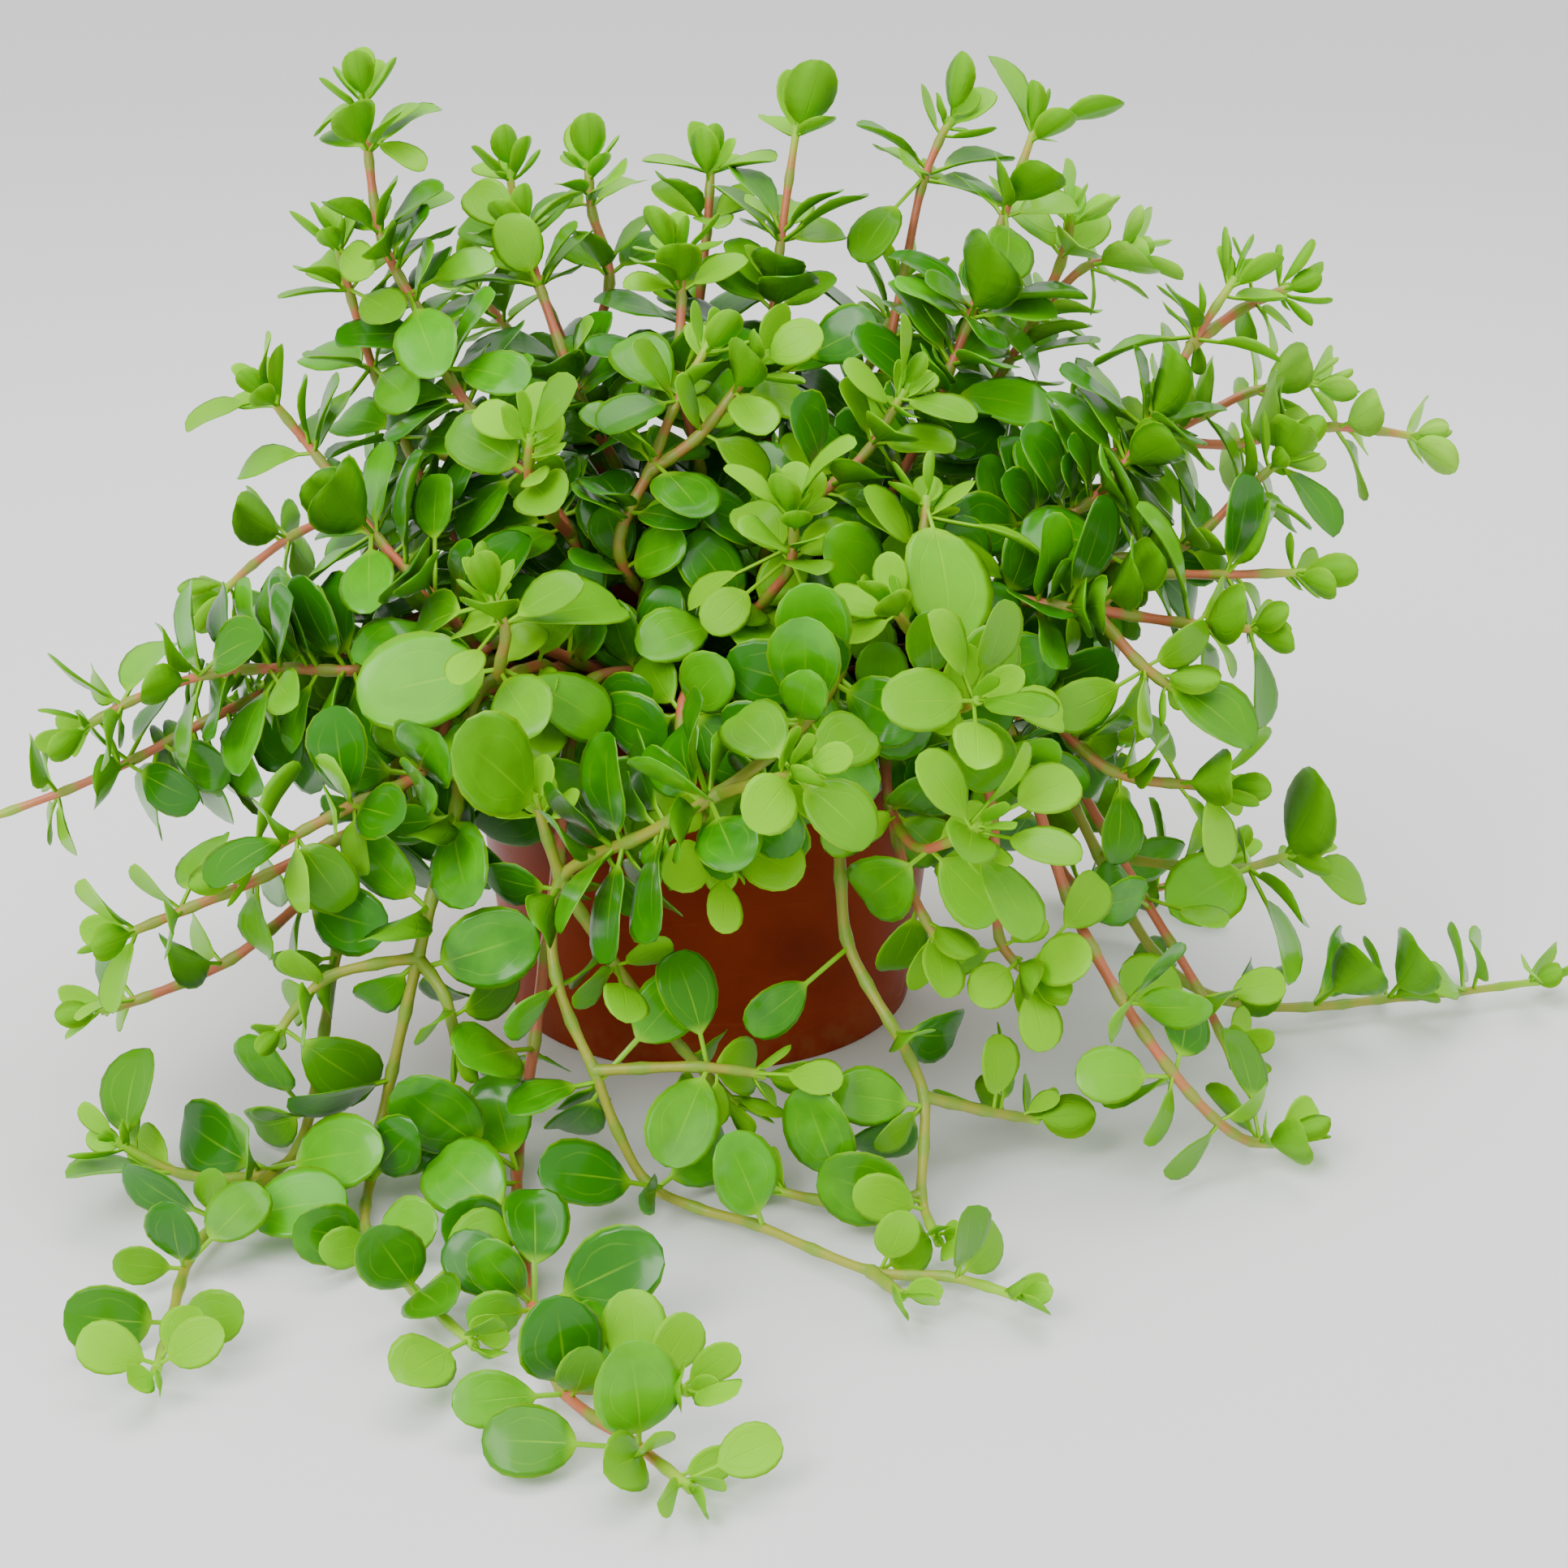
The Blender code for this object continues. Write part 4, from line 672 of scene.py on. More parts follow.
# %% [markdown]
# ## Where the leaves grow
#
# A blade is a midrib that bends evenly, with two halves that fold up from it. Each new blade is kept
# only if its plain plate, with some room round it, meets nothing that grew before. A tree of bounding
# boxes answers that question quickly. Modelling 500 leaves by hand would take days, and scattering them
# blindly would let them cross.

# %% A leaf blade
LARGE_PAIRS, YOUNG_PAIRS, SMALL_PAIRS = (0.26, 0.76), (0.36, 0.88), (0.6,)
CORNER_OUT = 1.08
REACH_SHARE = 0.62
STEEPEST_OUT = 0.4


class Leaf:
    """A blade on its petiole: a midrib that bends evenly, and two halves that fold up from it."""

    def __init__(self, place, joint, origin, side, along, face, length, width, petiole, bend, fold):
        self.place = tuple(place)
        self.joint = joint
        self.origin = origin
        self.seat_side = side
        self.along = along.normalized()
        self.face = (face - self.along * face.dot(self.along)).normalized()
        self.side = self.along.cross(self.face)
        self.length = length
        self.width = width
        self.petiole = petiole
        self.bend = bend
        self.fold = fold
        self.middle = self.point(0.5, 0)
        self.reach = REACH_SHARE * length

    def point(self, t, s):
        """The blade's point at t from its base to its tip and s from its midrib to either edge."""
        angle = self.bend * t
        ahead = self.length * math.sin(angle) / self.bend
        fall = self.length * (1 - math.cos(angle)) / self.bend
        midrib = self.origin + self.along * (self.petiole + ahead) - self.face * fall
        upwards = self.face * math.cos(angle) + self.along * math.sin(angle)
        half = FULLNESS * self.width * t**BASE_TAPER * (1 - t) ** TIP_TAPER
        sideways = self.side * (s * half * math.cos(self.fold))
        return midrib + sideways + upwards * (abs(s) * half * math.sin(self.fold))

    def root(self):
        """The blade's root, sunk in the stem far enough to hold its whole thickness."""
        out = max(self.along.dot(self.seat_side), STEEPEST_OUT)
        sunk = (0.5 * BLADE_THICK * math.sqrt(max(0.0, 1 - out * out)) + ROOT_DEPTH) / out
        return self.origin - self.along * sunk

    def outline(self):
        """The blade's corners after its root: pairs from the base up, and a tip where it has one."""
        if self.length >= LARGE_LEAF:
            pairs, tip = LARGE_PAIRS, True
        elif self.length >= YOUNG_LEAF:
            pairs, tip = YOUNG_PAIRS, False
        else:
            pairs, tip = SMALL_PAIRS, True
        right = [self.point(t, CORNER_OUT) for t in pairs]
        left = [self.point(t, -CORNER_OUT) for t in reversed(pairs)]
        return right + ([self.point(1, 0)] if tip else []) + left

    def plate(self, thick, root):
        """The blade as a closed plate: its points, and triangles split alike on both faces."""
        corners = [root] + self.outline()
        count = len(corners)
        fan = [(0, 1, count - 1)]
        if self.length >= LARGE_LEAF:
            corners.append(self.point(0.5, 0))
            fan += [(count, i, i + 1) for i in range(1, count - 1)] + [(count, count - 1, 1)]
        else:
            fan += [(1, i, i + 1) for i in range(2, count - 1)]
        lift = self.face * (thick / 2)
        total = len(corners)
        faces = fan + [(a + total, c + total, b + total) for a, b, c in fan]
        for i in range(count):
            j = (i + 1) % count
            faces += [(j, i, i + total), (j, i + total, j + total)]
        return [p + lift for p in corners] + [p - lift for p in corners], faces


# %% Room for the leaves
BOX_CORNERS = 8
BOX_SIDES = ((0, 1, 2, 3), (7, 6, 5, 4), (0, 4, 5, 1), (1, 5, 6, 2), (2, 6, 7, 3), (3, 7, 4, 0))
POT_ROOM = 0.3
OUTER_FROM = 0.3
NEARLY_UPRIGHT = 0.9


def across(direction):
    """Two directions square to this one and to each other."""
    other = Vector((0, 0, 1)) if abs(direction.z) < NEARLY_UPRIGHT else Vector((1, 0, 0))
    first = direction.cross(other).normalized()
    return first, direction.cross(first)


def box_round(a, b, room):
    u, v = across((b - a).normalized())
    return [end + (u * x + v * y) * room for end in (a, b) for x, y in ((1, 1), (-1, 1), (-1, -1), (1, -1))]


class Space:
    """What stands round the blades: the pot, the soil, the ground, the stems and the blades so far."""

    def __init__(self, plants):
        points, faces = pot_shell()
        self.owners = [(None, 0, 0)] * len(faces)
        for plant in plants:
            for a, b in plant.segments():
                points += box_round(plant.joints[a], plant.joints[b], STEM_RADIUS + LEAF_ROOM)
                first = len(points) - BOX_CORNERS
                faces += [[first + k for k in side] for side in BOX_SIDES]
                self.owners += [(plant, a, b)] * len(BOX_SIDES)
        self.stems = BVHTree.FromPolygons(points, faces)
        self.blades = []

    def clear(self, plant, leaf):
        points, faces = leaf.plate(BLADE_THICK + 2 * LEAF_ROOM, leaf.root())
        if any(off_pot(p, POT_ROOM).length > 0 for p in points):
            return False
        whole = BVHTree.FromPolygons(points, faces)
        for _, hit in whole.overlap(self.stems):
            owner, a, b = self.owners[hit]
            if owner is not plant or leaf.joint not in (a, b):
                return False
        outer = BVHTree.FromPolygons(*leaf.plate(BLADE_THICK, leaf.point(OUTER_FROM, 0)))
        if outer.overlap(self.stems):
            return False
        blade = None
        for other_plant, other, other_whole, other_blade in self.blades:
            if (other.middle - leaf.middle).length > other.reach + leaf.reach + other.petiole + leaf.petiole:
                continue
            if other_plant is plant and other.joint == leaf.joint:
                if blade is None:
                    plate = leaf.plate(BLADE_THICK + LEAF_ROOM, leaf.origin + leaf.along)
                    blade = BVHTree.FromPolygons(*plate)
                if blade.overlap(other_blade):
                    return False
            elif whole.overlap(other_whole):
                return False
        return True

    def add(self, plant, leaf):
        plant.leaves.append(leaf)
        plant.seats.append((*leaf.place, leaf.seat_side))
        whole = BVHTree.FromPolygons(*leaf.plate(BLADE_THICK, leaf.root()))
        blade = BVHTree.FromPolygons(*leaf.plate(BLADE_THICK, leaf.origin + leaf.along))
        self.blades.append((plant, leaf, whole, blade))


# %% [markdown]
# Mature leaves turn their faces to the light, which comes from above and outside. Young ones at a
# stem's tip stand up and cup round the bud. Leaves are drawn from a seeded random source, and one that
# does not fit is turned, moved or shortened a little until it does.

# %% Growing the leaves
SHORT_STALK, USUAL_STALK, LONG_STALK = 2.0, 4.0, 12.0
MATURE_WIDTH, MATURE_BEND, MATURE_FOLD = (0.76, 0.88), (0.15, 0.55), (0.1, 0.3)
MATURE_TO_TIP, MATURE_SWAY, MATURE_SWAY_GAIN = 0.35, 0.22, 0.05
WHORL_WIDTH, WHORL_BEND, WHORL_FOLD = (0.74, 0.9), (0.2, 0.6), (0.15, 0.4)
WHORL_STALK = 0.18
WHORL_SIZES = (0.85, 1.12)
WHORL_TURN_SWAY, WHORL_ANGLE_SWAY, WHORL_ANGLE_GAIN = 0.12, 6, 5
LEAST_ANGLE, MOST_ANGLE = 12, 110
YOUNG_TO_LIGHT, MATURE_TO_LIGHT = 0.35, 1.1
UPWARD_LIFT, MATURE_FLATTER = 0.15, 0.7
LOW_JOINT = 14.0
OVER_LIP = 8.0
STAGE_SEEDS = 1000
WISH_TRIES, FIRST_JOINT_TRIES, WHORL_TRIES = 60, 24, 24
WISH_SHRINK, WISH_WANDER = 0.004, 0.09
WHORL_SHRINK, WHORL_WANDER = 0.01, 0.15


def towards_light(plant, point):
    """Light comes from above and from outside the plant, whose middle leans to the back."""
    axis_y, lean = plant.light
    outwards = Vector((point.x, point.y - axis_y, 0.0))
    lean *= 1 + min(outwards.length / LIP_RADIUS, 1.0)
    return (outwards.normalized() * lean + Vector((0, 0, 1))).normalized()


def mature_leaf(plant, place, target, length, draw, wander):
    """A leaf whose blade lies round the target. It faces the light and the stem's tip."""
    target = target + Vector((draw.gauss(0, 1), draw.gauss(0, 1), draw.gauss(0, 1))) * wander
    joint = plant.lines[place[0]][place[1]]
    origin, side = plant.seat(*place, target - plant.joints[joint])
    reach = target - origin
    along = reach.normalized()
    u, v = across(along)
    face = plant.tangent(*place) * MATURE_TO_TIP + towards_light(plant, target)
    sway = MATURE_SWAY + MATURE_SWAY_GAIN * wander
    face += (u * draw.gauss(0, 1) + v * draw.gauss(0, 1)) * sway
    petiole = min(max(reach.length - length / 2, SHORT_STALK), LONG_STALK)
    width = length * draw.uniform(*MATURE_WIDTH)
    bend, fold = draw.uniform(*MATURE_BEND), draw.uniform(*MATURE_FOLD)
    return Leaf(place, joint, origin, side, along, face, length, width, petiole, bend, fold)


def whorl_leaf(plant, place, turn, spread, length, draw, wander, young):
    """A leaf of a whorl, at an angle to its stem. Young ones cup, and others turn to the light."""
    growing = plant.tangent(*place)
    u, v = across(growing)
    turn += draw.gauss(0, WHORL_TURN_SWAY + WHORL_TURN_SWAY * wander)
    outward = u * math.cos(turn) + v * math.sin(turn)
    spread += draw.gauss(0, WHORL_ANGLE_SWAY + WHORL_ANGLE_GAIN * wander)
    angle = math.radians(min(max(spread, LEAST_ANGLE), MOST_ANGLE))
    along = growing * math.cos(angle) + outward * math.sin(angle)
    joint = plant.lines[place[0]][place[1]]
    if plant.joints[joint].z < LOW_JOINT:
        along.z = max(along.z, UPWARD_LIFT)
    face = growing * math.sin(angle) - outward * math.cos(angle)
    width = length * draw.uniform(*WHORL_WIDTH)
    bend, fold = draw.uniform(*WHORL_BEND), draw.uniform(*WHORL_FOLD)
    if young:
        face += towards_light(plant, plant.joints[joint]) * YOUNG_TO_LIGHT
        bend = -bend
    else:
        along.z += UPWARD_LIFT
        face += towards_light(plant, plant.joints[joint]) * MATURE_TO_LIGHT
        fold *= MATURE_FLATTER
    origin, side = plant.seat(*place, along)
    petiole = WHORL_STALK * length
    return Leaf(place, joint, origin, side, along, face, length, width, petiole, bend, fold)


def grow_wished(plant, space, draw):
    """The plant's own large leaves, each from the joint that its petiole reaches best."""
    missed = 0
    for *middle, length in plant.wishes:
        target = Vector(middle)
        ways = sorted(
            (abs((plant.joints[joint] - target).length - length / 2 - USUAL_STALK), number, step)
            for number, line in enumerate(plant.lines) for step, joint in enumerate(line) if joint > 1
        )
        for attempt in range(WISH_TRIES):
            _, *place = ways[0 if attempt < FIRST_JOINT_TRIES or attempt % 2 else 1]
            size = length * (1 - WISH_SHRINK * attempt)
            leaf = mature_leaf(plant, place, target, size, draw, WISH_WANDER * attempt)
            if space.clear(plant, leaf):
                space.add(plant, leaf)
                break
        else:
            missed += 1
    return missed


def grow_whorl(plant, space, draw, place, count, spread, length, young):
    """A whorl of like leaves round a joint, each turned or shortened a little until it is clear."""
    missed = 0
    start = draw.uniform(0, math.tau)
    for k in range(count):
        size = length * draw.uniform(*WHORL_SIZES)
        turn = start + math.tau * k / count
        for attempt in range(WHORL_TRIES):
            leaf = whorl_leaf(plant, place, turn, spread, size * (1 - WHORL_SHRINK * attempt), draw,
                              WHORL_WANDER * attempt, young)
            if space.clear(plant, leaf):
                space.add(plant, leaf)
                break
        else:
            missed += 1
    return missed


def grow_tips(plant, space, draw):
    """The small leaves round each stem's tip."""
    missed = 0
    for number, side in enumerate(plant.stems):
        tip = (number, len(plant.lines[number]) - 1)
        missed += grow_whorl(plant, space, draw, tip, side["tip"], side["spread"], side["young"], True)
    return missed


def grow_whorls(plant, space, draw):
    """Leaves by rule at the joints between the pot and the tip: larger the further they are from the tip."""
    missed = 0
    for number, side in enumerate(plant.stems):
        line = plant.lines[number]
        for step in range(len(line) - 2, 0, -1):
            joint = plant.joints[line[step]]
            outside = math.hypot(joint.x, joint.y) > LIP_RADIUS or joint.z > POT_HEIGHT + OVER_LIP
            if outside and line[step] > 1:
                from_tip = (plant.joints[line[-1]] - joint).length
                length = min(WHORL_SHORTEST + WHORL_GAIN * from_tip, WHORL_LONGEST)
                place = (number, step)
                missed += grow_whorl(plant, space, draw, place, side["whorl"], WHORL_SPREAD, length, False)
    return missed


def grow(plants):
    """Grows every leaf where it touches nothing else. Each plant has its own seeded draw."""
    for plant in plants:
        plant.frame_stems()
    space = Space(plants)
    missed = []
    for stage, growth in enumerate((grow_wished, grow_tips, grow_whorls)):
        for number, plant in enumerate(plants):
            missed.append(growth(plant, space, random.Random(SEED + STAGE_SEEDS * stage + number)))
    return sum(missed)


missed = grow(plants)
print("leaves in the CAD model:", sum(len(plant.leaves) for plant in plants), "without room:", missed)

# %% [markdown]
# The real plant is fuller than the CAD model, which has to stay light. Its leaf joints are only about
# 17 mm apart, half as far as those of the model. So each internode gets one more joint in its middle,
# on the same curve, and more leaves grow by the same rules: small ones at each tip, where the bud
# opens, and larger ones deep in the dome. Fewer grow on the last stretch below a tip and on the
# trailing stems, and none before the part of the pot that shows. They too keep clear of everything that
# grew before, and they turn further to the front than the rest, where the photo shows them full face.
# Strewing copies of one leaf over the dome would fill it as well, but they would hang in the air.

# %% More joints
TIP_EXTRAS = ((3, 26.0, 8.5), (2, 14.0, 5.0), (2, 60.0, 11.0))
DEEP_EXTRAS = ((2, 72.0, 22.0), (3, 60.0, 18.0), (2, 80.0, 20.0), (1, 64.0, 14.0))
HIGH_EXTRAS = ((3, 62.0, 15.5), (1, 50.0, 12.0))
TRAIL_EXTRAS = ((1, 66.0, 18.0), (1, 60.0, 13.0))
BARE_LENGTH = 40.0
POT_WINDOW = (10.0, 34.0, -58.0, 76.0)
JUST_OVER_LIP, BELOW_LIP = 4.0, 15.0
LIGHT_FROM_BEHIND = (120.0, 1.1)
EXTRA_SEEDS = 9000


def halve_internodes(plant):
    """Puts a joint in the middle of each internode, on a curve through its neighbours."""
    for number, line in enumerate(plant.lines):
        finer = [line[0]]
        for step, (a, b) in enumerate(zip(line, line[1:])):
            before = plant.joints[line[max(step - 1, 0)]]
            after = plant.joints[line[min(step + 2, len(line) - 1)]]
            middle = (plant.joints[a] + plant.joints[b]) * (9 / 16) - (before + after) * (1 / 16)
            plant.joints.append(middle)
            finer += [len(plant.joints) - 1, b]
        plant.lines[number] = finer
    plant.frame_stems()


# %% Leaves that only the dressed plant has
def extras_at(plant, line, step):
    """The whorls that a joint may still get: none inside the pot, or where its front stays bare."""
    joint = plant.joints[line[step]]
    left, right, front, top = POT_WINDOW
    window = left < joint.x < right and joint.y < front and joint.z < top
    inside = math.hypot(joint.x, joint.y) < LIP_RADIUS and joint.z < POT_HEIGHT + JUST_OVER_LIP
    if window or inside or line[step] < 2:
        return ()
    if joint.z < POT_HEIGHT - BELOW_LIP:
        return TRAIL_EXTRAS if step % 2 == 0 else ()
    if (plant.joints[line[-1]] - joint).length < BARE_LENGTH:
        return HIGH_EXTRAS if step % 2 == 0 else ()
    return DEEP_EXTRAS


def grow_extras(plant, space, draw):
    """Small leaves round each tip, then more leaves at the joints outside the pot."""
    for number, line in enumerate(plant.lines):
        low = plant.joints[line[-1]].z < POT_HEIGHT - BELOW_LIP
        for count, spread, length in TIP_EXTRAS[:2] if low else TIP_EXTRAS:
            grow_whorl(plant, space, draw, (number, len(line) - 1), count, spread, length, True)
        for step in range(len(line) - 2, 1, -1):
            for count, spread, length in extras_at(plant, line, step):
                grow_whorl(plant, space, draw, (number, step), count, spread, length, False)


for plant in plants:
    halve_internodes(plant)
space = Space(plants)
for plant in plants:
    # The leaves that are still to grow take their light from further behind, so they face the front.
    plant.light = LIGHT_FROM_BEHIND
    grown, plant.leaves, plant.seats = plant.leaves, [], []
    for leaf in grown:
        space.add(plant, leaf)
for number, plant in enumerate(plants):
    grow_extras(plant, space, random.Random(SEED + EXTRA_SEEDS + number))
print("leaves on the dressed plant:", sum(len(plant.leaves) for plant in plants))

# %% [markdown]
# ## Node trees as sums
#
# Blender's node trees can be wired one node at a time, but a formula is easier to read as a formula.
# This small class wraps a socket, so that an expression such as `1 - mask` adds its Math node. It
# serves the materials and the Geometry Nodes alike, because both use the same Math node.

# %% Writing node trees as expressions
class Value:
    """A socket's value in a node tree. Sums on it add Math nodes."""

    def __init__(self, tree, socket):
        self.tree = tree
        self.socket = socket

    def math(self, operation, *others):
        inputs = dict(enumerate((self, *others)))
        return self.tree.add("ShaderNodeMath", {"operation": operation}, inputs)

    def __add__(self, other):
        return self.math("ADD", other)

    def __radd__(self, other):
        return self.math("ADD", other)

    def __sub__(self, other):
        return self.math("SUBTRACT", other)

    def __rsub__(self, other):
        return self.tree.add("ShaderNodeMath", {"operation": "SUBTRACT"}, {0: other, 1: self})

    def __mul__(self, other):
        return self.math("MULTIPLY", other)

    def __rmul__(self, other):
        return self.math("MULTIPLY", other)

    def __truediv__(self, other):
        return self.math("DIVIDE", other)

    def __pow__(self, other):
        return self.math("POWER", other)

    def __abs__(self):
        return self.math("ABSOLUTE")

    def step(self, low, high):
        """0 below low, 1 above high and smooth between them. Low may be above high."""
        settings = {"interpolation_type": "SMOOTHSTEP"}
        inputs = {"Value": self, "From Min": low, "From Max": high}
        return self.tree.add("ShaderNodeMapRange", settings, inputs)


class Tree:
    """A node tree that is being written."""

    def __init__(self, nodes):
        self.nodes = nodes.nodes
        self.links = nodes.links

    def plug(self, socket, value):
        if isinstance(value, Value):
            self.links.new(value.socket, socket)
        else:
            socket.default_value = value

    def add(self, kind, settings=None, inputs=None, output=0):
        """A node of this type: its settings are set first, then its sockets get values or links."""
        node = self.nodes.new(kind)
        for name, value in (settings or {}).items():
            setattr(node, name, value)
        for name, value in (inputs or {}).items():
            self.plug(node.inputs[name], value)
        return Value(self, node.outputs[output])


# %% [markdown]
# A Geometry Nodes tree takes a mesh and named sizes and gives back a mesh. The helper here puts such a
# tree on an object, sets its inputs by their identifiers, and takes the evaluated result as a plain
# mesh, so that nothing is left live.

# %% Running a Geometry Nodes tree
def geometry_tree(name, sizes):
    """A new geometry tree with a mesh input and one input for each named size: the tree, and its inputs."""
    group = bpy.data.node_groups.new(name, "GeometryNodeTree")
    group.interface.new_socket("Geometry", in_out="INPUT", socket_type="NodeSocketGeometry")
    for label, kind in sizes.items():
        group.interface.new_socket(label, in_out="INPUT", socket_type=kind)
    group.interface.new_socket("Geometry", in_out="OUTPUT", socket_type="NodeSocketGeometry")
    tree = Tree(group)
    start = group.nodes.new("NodeGroupInput")
    values = {socket.name: Value(tree, socket) for socket in start.outputs if socket.name}
    return group, tree, values


def close_tree(group, tree, geometry, material):
    """Ends the tree: the geometry gets its material and goes out."""
    painted = tree.add("GeometryNodeSetMaterial", {}, {"Geometry": geometry, "Material": material})
    end = group.nodes.new("NodeGroupOutput")
    tree.plug(end.inputs["Geometry"], painted)


def run_tree(group, mesh, sizes):
    """The plain mesh that the tree makes from this mesh with these sizes."""
    holder = bpy.data.objects.new("holder", mesh)
    bpy.context.scene.collection.objects.link(holder)
    modifier = holder.modifiers.new("growth", "NODES")
    modifier.node_group = group
    for item in group.interface.items_tree:
        if item.in_out == "INPUT" and item.name in sizes:
            modifier[item.identifier] = sizes[item.name]
    bpy.context.view_layer.update()
    graph = bpy.context.evaluated_depsgraph_get()
    result = bpy.data.meshes.new_from_object(holder.evaluated_get(graph))
    bpy.data.objects.remove(holder)
    return result


# %% [markdown]
# ## The leaves
#
# A peperomia leaf is a little fleshy: full in the middle, thin only at its rounded rim, on a short
# round stalk. One template holds the grid of such a leaf in its own numbers: `t` along the blade, `s`
# from edge to edge, `w` up or down through it, and `stalk` along the petiole. It has only a few dozen
# faces, because it is repeated hundreds of times.

# %% The leaf template
BLADE_ROWS = 9
RIM_COLUMNS = (-1.0, -0.8, 0.0, 0.8, 1.0)


def leaf_template():
    """A mesh that holds t, s, w and stalk on its points. The leaf tree turns these into places."""
    rows = [(0.0, 0.0), (0.0, 0.5)]
    rows += [(0.5 - 0.5 * math.cos(math.pi * row / BLADE_ROWS), 1.0) for row in range(BLADE_ROWS)]
    around = [(s, math.sqrt(1 - s * s)) for s in RIM_COLUMNS] + [(0.0, -1.0)]
    points = [(t, s, w, stalk) for t, stalk in rows for s, w in around] + [(1.0, 0.0, 0.0, 1.0)]
    count, faces = len(around), [tuple(reversed(range(len(around))))]
    for row in range(len(rows) - 1):
        for k in range(count):
            a, b = row * count + k, row * count + (k + 1) % count
            faces.append((a, b, b + count, a + count))
    last = (len(rows) - 1) * count
    faces += [(last + k, last + (k + 1) % count, len(points) - 1) for k in range(count)]
    mesh = bpy.data.meshes.new("leaf template")
    mesh.from_pydata([(s, t, w) for t, s, w, stalk in points], [], faces)
    for index, name in enumerate(("t", "s", "w", "stalk")):
        mesh.attributes.new(name, "FLOAT", "POINT").data.foreach_set("value", [p[index] for p in points])
    return bpy.data.objects.new("leaf template", mesh)


template = leaf_template()
print("faces in a leaf:", len(template.data.polygons))

# %% [markdown]
# Each leaf is one point that carries its directions and measures. The tree puts the template on every
# point, makes the copies real, and only then forms them: it reads the four numbers and works out where
# each corner lies. Bending straight copies with modifiers would need a setting for each leaf.

# %% The leaf tree
RIM_WAVES, WAVE_SHIFT = 7, 6
CURL_POWER = 1.3


def form_leaves():
    """Geometry tree: a leaf on every point of the mesh, formed by the point's own measures."""
    sizes = {"Template": "NodeSocketObject", "Leaf material": "NodeSocketMaterial",
             "Stalk radius": "NodeSocketFloat", "Sunk": "NodeSocketFloat", "Fullness": "NodeSocketFloat",
             "Tip taper": "NodeSocketFloat"}
    group, tree, given = geometry_tree("leaves", sizes)

    def number(name):
        return tree.add("GeometryNodeInputNamedAttribute", {"data_type": "FLOAT"}, {"Name": name})

    def direction(name):
        return tree.add("GeometryNodeInputNamedAttribute", {"data_type": "FLOAT_VECTOR"}, {"Name": name})

    def times(vector, value):
        return tree.add("ShaderNodeVectorMath", {"operation": "SCALE"}, {"Vector": vector, "Scale": value})

    def plus(a, b):
        return tree.add("ShaderNodeVectorMath", {"operation": "ADD"}, {0: a, 1: b})

    shape = tree.add("GeometryNodeObjectInfo", {}, {"Object": given["Template"]}, "Geometry")
    copies = tree.add("GeometryNodeInstanceOnPoints", {}, {"Points": given["Geometry"], "Instance": shape})
    real = tree.add("GeometryNodeRealizeInstances", {}, {"Geometry": copies})
    t, s, w, stalk = (number(name) for name in ("t", "s", "w", "stalk"))
    measures = ("length", "width", "petiole", "bend", "fold")
    length, width, petiole, bend, fold = (number(name) for name in measures)
    stalk_radius = given["Stalk radius"] * number("stout")

    angle = bend * t
    ahead = length * angle.math("SINE") / bend
    fall = length * (1 - angle.math("COSINE")) / bend
    # By its base the blade is as broad and as thick as its stalk, and it thins out at its tip.
    blade = given["Fullness"] * width * t ** number("base taper") * (1 - t) ** given["Tip taper"]
    half = blade.math("MAXIMUM", stalk_radius * t.step(0.6, 0.0))
    along_rim = (t * RIM_WAVES + number("tone") * WAVE_SHIFT).math("SINE")
    wave = number("wave") * s * abs(s) * along_rim * t.step(0.0, 0.3)
    rise = abs(s) ** CURL_POWER * half * fold.math("SINE") + wave
    body = (0.5 * number("thick")).math("MAXIMUM", stalk_radius * t.step(0.3, 0.0)) * t.step(1.04, 0.85)
    forward = ahead + petiole * stalk - given["Sunk"] * (1 - stalk) + rise * angle.math("SINE")
    upward = rise * angle.math("COSINE") - fall + w * body
    sideways = s * half * fold.math("COSINE")
    place = plus(times(direction("along"), forward), times(direction("face"), upward))
    place = plus(plus(place, times(direction("side"), sideways)), direction("seat"))
    formed = tree.add("GeometryNodeSetPosition", {}, {"Geometry": real, "Position": place})
    smooth = tree.add("GeometryNodeSetShadeSmooth", {}, {"Geometry": formed})
    close_tree(group, tree, smooth, given["Leaf material"])
    return group


leaf_tree = form_leaves()
print("nodes in the leaf tree:", len(leaf_tree.nodes))

# %% [markdown]
# The points that feed the tree come straight from the grown leaves, now in metres. `youth` is 0 in a
# mature leaf and 1 in one that has just opened: it falls with the leaf's size and with its distance
# from the stem's tip, and drives the change from deep green to lime. `tone` lets neighbours differ, and
# no two leaves taper or wave quite alike.

# %% Leaf points
OLD_LEAF, NEW_LEAF = 19.0, 8.0
YOUNG_REACH, OLD_REACH = 60.0, 90.0
SIZE_SHARE, PLACE_SHARE = 0.75, 0.5
YOUNG_THIN, YOUNG_CALM = 0.35, 0.7
TAPERS, WAVE_HEIGHTS = (0.85, 1.3), (0.15, 0.8)


def youth_of(plant, leaf):
    """1 for the smallest leaves of a tip, 0 for large leaves far from it."""
    tip = plant.joints[plant.lines[leaf.place[0]][-1]]
    from_tip = (tip - plant.joints[leaf.joint]).length
    if from_tip >= OLD_REACH:
        return 0.0
    small = min(max((OLD_LEAF - leaf.length) / (OLD_LEAF - NEW_LEAF), 0.0), 1.0)
    near = 1 - from_tip / YOUNG_REACH
    return min(max(SIZE_SHARE * small + PLACE_SHARE * near, 0.0), 1.0)


